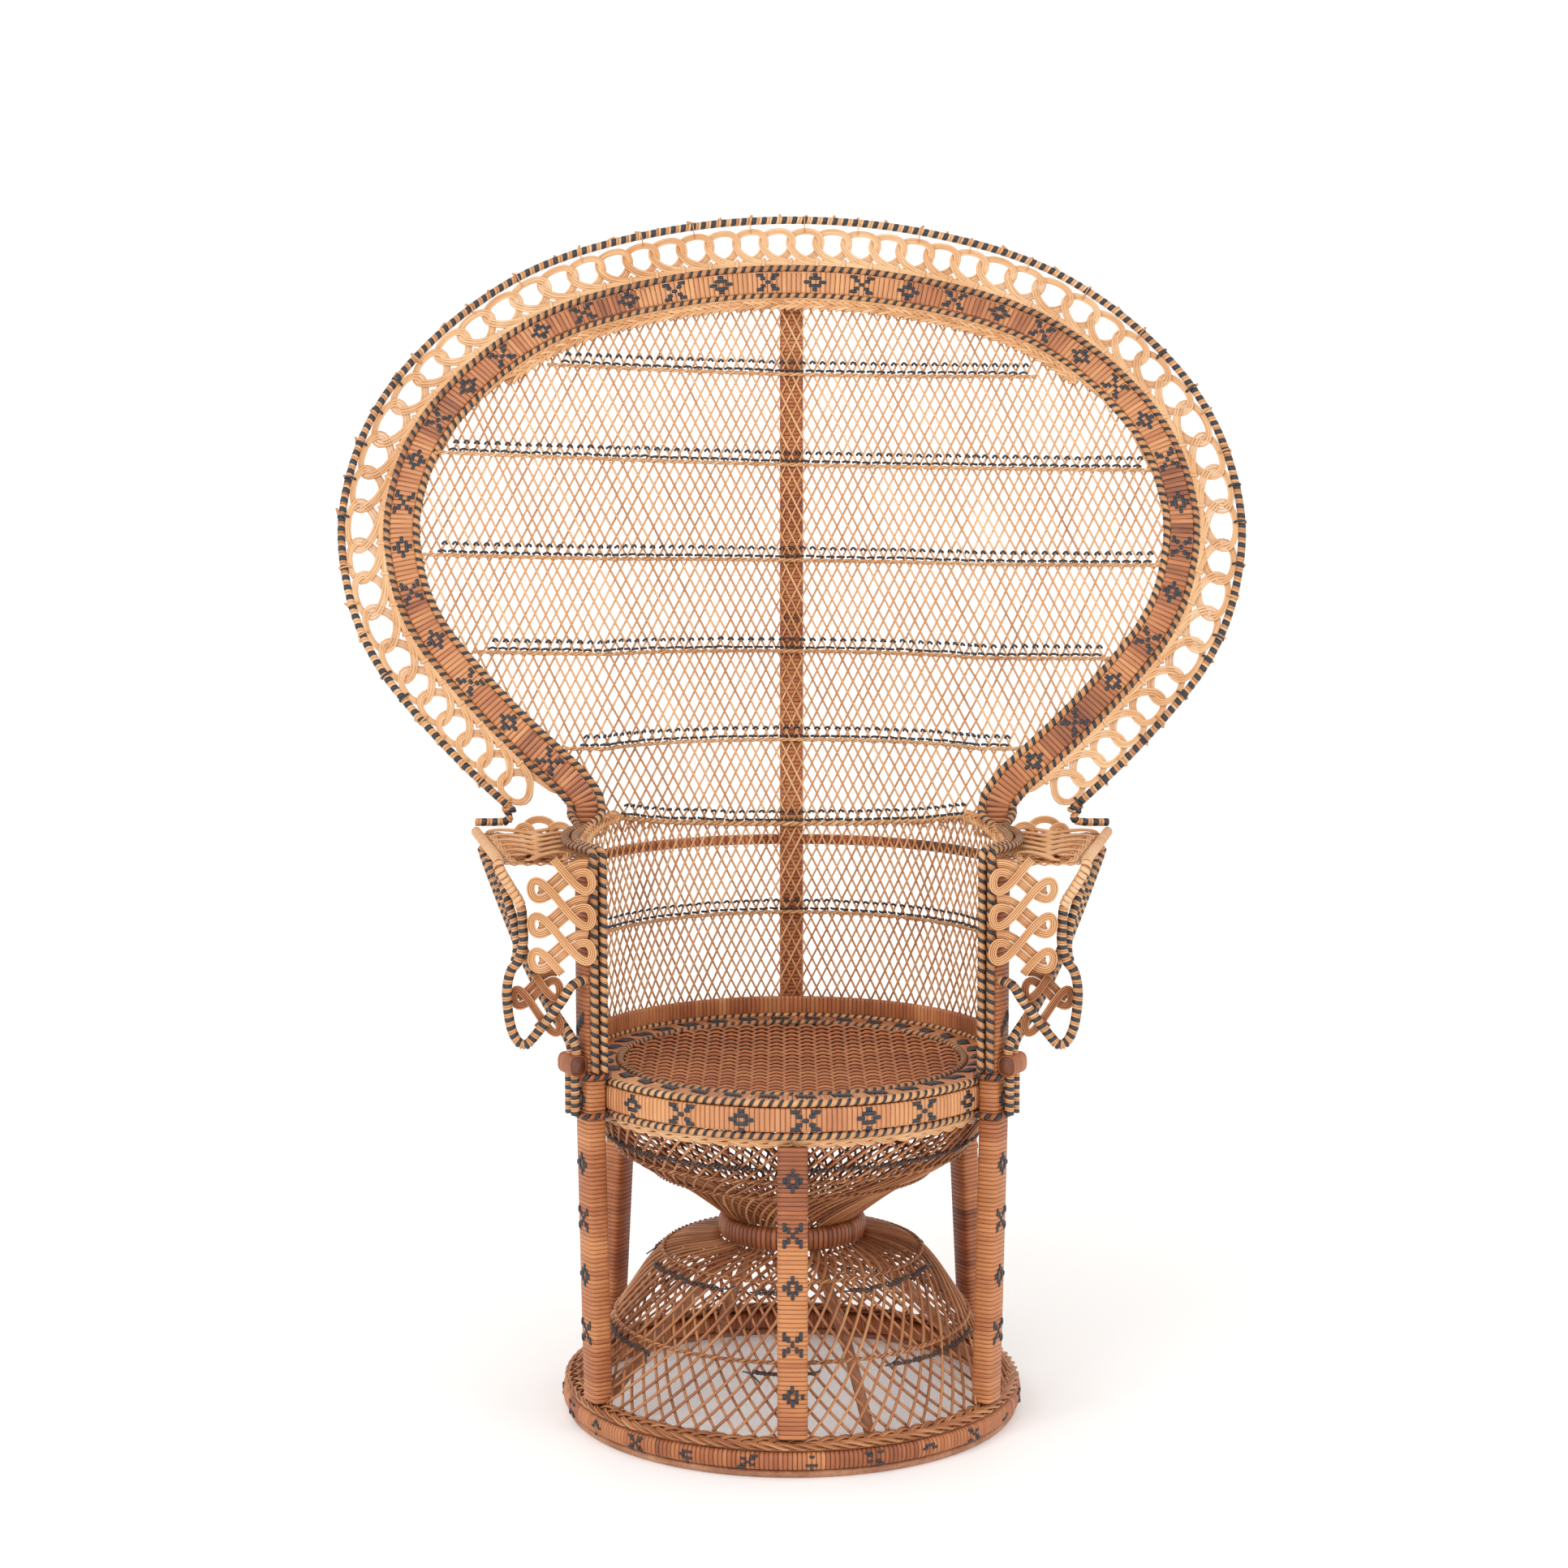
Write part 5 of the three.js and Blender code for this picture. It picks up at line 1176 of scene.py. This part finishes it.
class CHAIR_OT_loops(bpy.types.Operator):
    """Make the row of loops, the striped rod round it and its ties"""

    bl_idname = "chair.loops"
    bl_label = "Loops and Rim"

    LEG = [
        (1.45, 37), (1.05, 41), (0.7, 42.3), (0.3, 44), (-0.02, 47), (-0.27, 51.5), (-0.45, 58),
        (-0.58, 66), (-0.55, 75), (-0.33, 81.4), (0, 83.2),
    ]

    def rim_away(self, share):
        """The rod stands clear of the loops round the crown."""
        return RIM_AWAY + 7 * np.exp(-(((share - 0.5) / 0.2) ** 2))

    def ties(self, weave, count, pitch):
        """Strips that tie the loops to the rod, and short ends where they are knotted."""
        bands, ends = {"thin": [], "natural": [], "dyed": []}, []
        turn = np.linspace(0, 2 * math.pi, 15)
        for k in range(count):
            share = LOOP_FIRST + (k + 0.5 + weave.draw.normal(0, 0.12)) * pitch
            rim = float(self.rim_away(share))
            low, high = 81.5, rim + 5.6
            ring = hoop_place(
                np.full(15, share), (low + high) / 2 + (high - low) / 2 * np.cos(turn), 5.3 * np.sin(turn))
            ring[:, 3:] = unit(ring[:, :3] - hoop_place(share, (low + high) / 2)[:3])
            joined(ring)
            dark = weave.draw.uniform() < 0.45
            crown = abs(share - 0.5) < 0.2
            if not crown or k % 2:
                bands["thin" if crown else "dyed" if dark else "natural"].append(ring)
            reach = np.linspace(0, 1, 5)
            along = share + weave.draw.normal(0, 0.0016) * reach
            away = rim + 3.4 + weave.draw.uniform(1.6, 4.4) * reach
            ends.append(hoop_place(along, away, 1.5 + weave.draw.normal(0, 1.2) * reach))
        for kind, width in (("thin", 1.5), ("natural", 2.4), ("dyed", 3.2)):
            weave.strands(bands[kind], oval(width, 1.1, 6, 0.8), True, tones=0.6, dye=kind == "dyed")
        weave.strands(ends, oval(3.4, 1.8, 5, 1), tones=0.55)

    def execute(self, context):
        count = context.scene.chair_sizes.loop_count
        pitch = (LOOP_LAST - LOOP_FIRST) / count
        run = length_of(hoop_rail(62, 0, LOOP_FIRST, LOOP_LAST)) / count
        left = [(u * run, v) for u, v in self.LEG]
        shape = smooth([*left, *[(-u, v) for u, v in left[-2::-1]]], 52)
        along = unit(np.gradient(shape, axis=0))
        across = np.stack([-along[:, 1], along[:, 0]], -1)
        side = np.tanh(np.linspace(-1, 1, len(shape)) * 7)
        high = np.clip((shape[:, 1] - 74) / 9, 0, 1)
        spread = (3.3 - 1.3 * high - 1.5 * np.clip((47 - shape[:, 1]) / 5, 0, 1))[:, None]
        over = 1.8 * side * np.tanh((shape[:, 1] - 66) / 5)
        weave = Weave(81)
        rails = []
        for k in range(count):
            grow = 1 + weave.draw.normal(0, 0.025)
            slip = weave.draw.normal(0, 0.6)
            for strand in (-1, 0, 1):
                line = shape + across * strand * spread
                share = LOOP_FIRST + (k + 0.5 + (line[:, 0] * grow + slip) / run) * pitch
                ahead = over + strand * 0.9 * high
                rails.append(hoop_place(np.clip(share, 0.03, 0.97), np.minimum(line[:, 1], 86), ahead))
        weave.strands(rails, oval(3.3, 2.1, 6, 0.85), tones=weave.draw.uniform(0.5, 0.85, len(rails)))
        binds = []
        for k in range(count):
            away = np.linspace(36.5, 48.5, 7)
            share = LOOP_FIRST + (k + 0.96 + 0.006 * (away - 42)) * pitch
            binds.append(hoop_place(share, away, 3.4 - 2.2 * np.linspace(-1, 1, 7) ** 4))
        weave.strands(binds, oval(4.4, 1.3, 6, 0.7), tones=0.7)
        weave.done("loop_trim_canes", "cane_natural", "natural_cane", "loop_trim")
        rod = Weave(82)
        share = np.linspace(LOOP_FIRST, LOOP_LAST, 600)
        middle = hoop_place(share, self.rim_away(share))[:, :3]
        curl = [(342, 694), (337, 687), (340, 681.5), (351, 679.9), (378, 679.8)]
        curl = [(x, float(hoop_depth(np.array(z))), z) for x, z in curl]
        right = smooth([middle[-1], *curl], 60)
        line = np.vstack([(right[::-1] * [-1, 1, 1])[:-1], middle, right[1:]])
        rail = carried(evenly(line, 1500), (0, -1, 0.3))
        rod.wraps(rail, 12.8, (10, 10), square=1, points=10, slant=1.3, pattern=STRIPED, tone=0.6)
        self.ties(rod, count, pitch)
        rod.done("rim_rod_stripes", "braid_two_tone", "two_tone_braid", "rim_rod")
        return {"FINISHED"}


class CHAIR_OT_arms(bpy.types.Operator):
    """Make the arms: edge rods and scrolls, side rods in their cups, plaited tops and knotted panels"""

    bl_idname = "chair.arms"
    bl_label = "Arms"

    def piece(self, seed, name, node, finish, slot, build):
        """Builds the right piece and its mirror image."""
        for side, flip in (("right", np.asarray), ("left", mirrored)):
            weave = Weave(seed)
            build(weave, flip)
            weave.done(f"{name}_{side}", finish, slot, f"{node}_{side}")

    def edge_rod(self, weave, flip):
        points = [edge_point(share) for share in (0, 0.45, 0.93)]
        points += [scroll_place(*shares) for shares in SCROLL_SHARES]
        points.append(post_place(6, 10, scroll_place(*SCROLL_SHARES[-1])[2] + 6))
        rail = flip(carried(smooth(points, 400), (1, 0, 0.2)))
        split = 0.53
        weave.wraps(evenly(rail, 150, 0, split), 6.2, (12, 12), square=1, points=12, slant=0.6, tone=0.7)
        self.stripes(weave, evenly(rail, 240, split, 1), 11.6)
        self.stripes(weave, flip(carried(self.companion(), (1, 0.2, 0))), 10.4)

    def stripes(self, weave, rail, thickness):
        weave.wraps(
            rail, 9.4, (thickness, thickness), square=1, points=10, slant=0.7, pattern=STRIPED, tone=0.5)

    def side_rod(self, ahead, share):
        seat = post_place(CUP_AWAY, ahead, CUP_HEIGHT)
        head = edge_point(share)
        head[2] = 661.7

        def between(inward, down):
            point = head + (seat - head) * inward
            point[2] = head[2] + (seat[2] - head[2]) * down
            return point

        return smooth([
            head, head - (0, 0, 11), between(0.42, 0.48), between(0.72, 0.72), seat + (0, 0, 24), seat,
            seat - (0, 0, 24), seat - (0, 0, 57)], 160)

    def striped(self, ahead, share):
        def build(weave, flip):
            rail = flip(carried(self.side_rod(ahead, share), (1, 0.2, 0)))
            self.stripes(weave, rail, 10.6)
        return build

    def cup(self, weave, flip):
        ends = [post_place(CUP_AWAY, ahead, CUP_HEIGHT) for ahead in (-16.5, 16.5)]
        rail = flip(facing(smooth([ends[0], (ends[0] + ends[1]) / 2, ends[1]], 12), (0, 0, 1)))
        weave.wraps(rail, 5.2, (21, 24), square=0.7, points=16)

    def arm_top(self, weave, flip):
        """Knotted bands along the top of the arm, over close strips that run across it. The strips' low
        tone is painted shade under the bands.
        """
        under = []
        for share in np.linspace(0, 1, 30):
            end = edge_point(share) - (6, 0, 2.5)
            inner = around(242, math.pi * (0.63 - 0.3 * share), 665.5)
            if share > 0.9:
                inner = np.array([236, -112 - 430 * (share - 0.9), 665.5])
            line = np.linspace(inner, end, 24)
            line[:, 2] += 1.1 * np.cos(np.arange(24) * math.pi / 2 + share * 29 * math.pi)
            under.append(facing(line, (0, 0, 1)))
        # The under strips are real, but their low tone (0.15) is painted shade beneath the knotted bands;
        # the patches between strips are the cane's own.
        weave.strands(flip(under), oval(6.4, 1.9, 6, 0.7), tones=weave.patchy(30, 0.15, 0.5))

        def over(a, b, ahead):
            share = (100 - b) / 254
            left, right = 240 + 12 * share, 368 - 56 * share
            return np.stack([left + (right - left) * a, b, 668.5 + ahead], -1)

        weave.knots(flip, over, (0.04, 0.68), 92, -42, (0, 11.3), 13, (3.5, 2.8), 3, (0, 0, 1), 1.9)
        weave.knots(flip, over, (0.97, 0.38), 74, -42, (0, 10.4), 13, (3.5, 2.8), 3, (0, 0, 1), 1.6)
        coils = []
        turn = np.linspace(-0.3, math.pi + 0.3, 30)
        for across, back, wide, tall in ((300, 78, 22, 18), (317, 70, 12, 11), (276, 70, 15, 12)):
            for k in range(4):
                x = across + (wide - 2.2 * k) * np.cos(turn)
                z = 671 + (tall - 2.2 * k) * np.sin(turn)
                coils.append(facing(np.stack([x, back + 3 * np.cos(turn), z], -1), (0, -1, 0)))
        weave.strands(flip(coils), oval(2.4, 2.2, 6, 0.85))

    def panel(self, depth, wide, high, span, curl):
        def build(weave, flip):
            weave.knots(
                flip, lambda x, z, ahead: np.stack([x, depth - ahead, z], -1), wide, high, -39.5, span,
                curl, (2.4, 2.5), 4, (0, -1, 0))
        return build

    def companion(self):
        """A second rod that hangs beside the front of the edge rod, down to the scroll."""
        head = edge_point(0.86)
        head[2] = 662
        return smooth([
            head, head - (4, 0, 14), scroll_place(0.93, 0.19, -136), scroll_place(0.86, 0.3, -138),
            scroll_place(0.84, 0.4, -142), scroll_place(0.86, 0.455, -146)], 120)

    def execute(self, context):
        braid = ("braid_two_tone", "two_tone_braid")
        self.piece(91, "scroll_rod_stripes", "scroll_rod", *braid, self.edge_rod)
        self.piece(92, "side_rod_front_stripes", "side_rod_front", *braid, self.striped(7.3, 0.66))
        self.piece(93, "side_rod_rear_stripes", "side_rod_rear", *braid, self.striped(-7.3, 0.36))
        self.piece(94, "rod_cup_wrapping", "rod_cup", "wrap_brown", "honey_wrap", self.cup)
        self.piece(95, "arm_top_plait", "arm_top", "cane_natural", "natural_cane", self.arm_top)
        self.piece(96, "upper_knot", "upper_panel", "cane_natural", "natural_cane",
                   self.panel(-163.5, (290, 222), 672.3, (0.42, 6.5), 15))
        # The lower panel takes the darker lower cane finish: painted shade, as it lies behind the upper
        # panel.
        self.piece(97, "lower_knot", "lower_panel", "cane_lower", "natural_cane",
                   self.panel(-146.5, (312, 260), 548, (0.5, 3.5), 14))
        return {"FINISHED"}


class CHAIR_OT_hidden(bpy.types.Operator):
    """Finish the seat's hidden ring and slats"""

    bl_idname = "chair.hidden"
    bl_label = "Seat Frame"

    def execute(self, context):
        for name in ("seat_frame_ring", "seat_slat_front", "seat_slat_rear"):
            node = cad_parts[name]
            node.data.materials.clear()
            node.data.materials.append(bpy.data.materials["pole_bare"])
        return {"FINISHED"}


class CHAIR_OT_stage(bpy.types.Operator):
    """Make the floor and backdrop, the lamps, the world and the camera"""

    bl_idname = "chair.stage"
    bl_label = "Stage"

    def execute(self, context):
        scene = context.scene
        scene.view_settings.view_transform = "Standard"
        sweep = bmesh.new()
        turn = np.linspace(0, math.pi / 2, 13)
        profile = [(-14, 0), *[(7 + 2 * math.sin(t), 2 - 2 * math.cos(t)) for t in turn], (9, 9)]
        verts = [sweep.verts.new((-12, y, z)) for y, z in profile]
        edges = [sweep.edges.new(pair) for pair in zip(verts, verts[1:])]
        wide = bmesh.ops.extrude_edge_only(sweep, edges=edges)["geom"]
        moved = [item for item in wide if isinstance(item, bmesh.types.BMVert)]
        bmesh.ops.translate(sweep, verts=moved, vec=(24, 0, 0))
        bmesh.ops.recalc_face_normals(sweep, faces=sweep.faces)
        mesh = bpy.data.meshes.new("backdrop")
        sweep.to_mesh(mesh)
        sweep.free()
        mesh.shade_smooth()
        floor = bpy.data.objects.new("backdrop", mesh)
        scene.collection.objects.link(floor)
        pale = Finish(bpy.data.materials.new("backdrop"))
        cloud = pale.noise(pale.node("ShaderNodeTexCoord", {}, {}, "Object"), 0.6, 2)
        colour = pale.mix(cloud, (0.95, 0.95, 0.95, 1), (0.98, 0.98, 0.98, 1))
        surface = pale.node("ShaderNodeBsdfPrincipled", {}, {
            "Base Color": colour, "Roughness": 0.9, "Emission Color": (1, 1, 1, 1),
            "Emission Strength": 0.12})
        pale.node("ShaderNodeOutputMaterial", {}, {"Surface": surface})
        mesh.materials.append(pale.owner)
        self.lamps(scene)
        self.world(scene)
        camera = bpy.data.cameras.new("camera")
        camera.lens = CAMERA_LENS
        camera.sensor_width = 36
        holder = bpy.data.objects.new("camera", camera)
        holder.location = Vector(CAMERA_PLACE) + Vector(SEAT_MIDDLE)
        holder.rotation_euler = (math.pi / 2 - CAMERA_TILT, 0, 0)
        scene.collection.objects.link(holder)
        scene.camera = holder
        return {"FINISHED"}

    def lamps(self, scene):
        for name, place, watts, width in (
            ("key", (-2.2, -3.4, 3.2), 60, 2.2), ("fill", (2.8, -3.0, 1.6), 24, 2.6),
        ):
            lamp = bpy.data.lights.new(name, "AREA")
            lamp.energy = watts
            lamp.size = width
            holder = bpy.data.objects.new(name, lamp)
            holder.location = place
            aim = Vector(LAMP_TARGET) - Vector(place)
            holder.rotation_euler = aim.to_track_quat("-Z", "Y").to_euler()
            scene.collection.objects.link(holder)

    def world(self, scene):
        world = Finish(bpy.data.worlds.new("studio"))
        seen = world.node("ShaderNodeLightPath", {}, {}, "Is Camera Ray")
        glossy = world.node("ShaderNodeLightPath", {}, {}, "Is Glossy Ray")
        clear = world.node("ShaderNodeLightPath", {}, {}, "Is Transmission Ray")
        soft = world.node("ShaderNodeBackground", {}, {"Color": (1, 0.99, 0.97, 1), "Strength": 0.92})
        white = world.node("ShaderNodeBackground", {}, {"Color": (1, 1, 1, 1), "Strength": 1.0})
        mixed = world.node("ShaderNodeMixShader", {}, {0: seen + glossy + clear, 1: soft, 2: white})
        world.node("ShaderNodeOutputWorld", {}, {"Surface": mixed})
        scene.world = world.owner


STEPS = (
    CHAIR_OT_stage, CHAIR_OT_finishes, CHAIR_OT_base, CHAIR_OT_hourglass, CHAIR_OT_legs, CHAIR_OT_seat,
    CHAIR_OT_wall, CHAIR_OT_fan, CHAIR_OT_hoop, CHAIR_OT_loops, CHAIR_OT_arms, CHAIR_OT_hidden,
)


class CHAIR_PT_panel(bpy.types.Panel):
    """The chair's steps and sizes"""

    bl_idname = "CHAIR_PT_panel"
    bl_label = "Peacock Chair"
    bl_space_type = "VIEW_3D"
    bl_region_type = "UI"
    bl_category = "Peacock Chair"

    def draw(self, context):
        for group in (context.scene.chair_sizes, context.scene.chair_colours):
            for name in group.__annotations__:
                self.layout.prop(group, name)
        for step in STEPS:
            self.layout.operator(step.bl_idname)


CLASSES = (ChairSizes, ChairColours, *STEPS, CHAIR_PT_panel)


def register():
    for kind in CLASSES:
        bpy.utils.register_class(kind)
    bpy.types.Scene.chair_sizes = PointerProperty(type=ChairSizes)
    bpy.types.Scene.chair_colours = PointerProperty(type=ChairColours)


def unregister():
    del bpy.types.Scene.chair_colours
    del bpy.types.Scene.chair_sizes
    for kind in reversed(CLASSES):
        bpy.utils.unregister_class(kind)


def main():
    register()
    for step in STEPS:
        group, name = step.bl_idname.split(".")
        getattr(getattr(bpy.ops, group), name)()


if __name__ == "__main__":
    main()
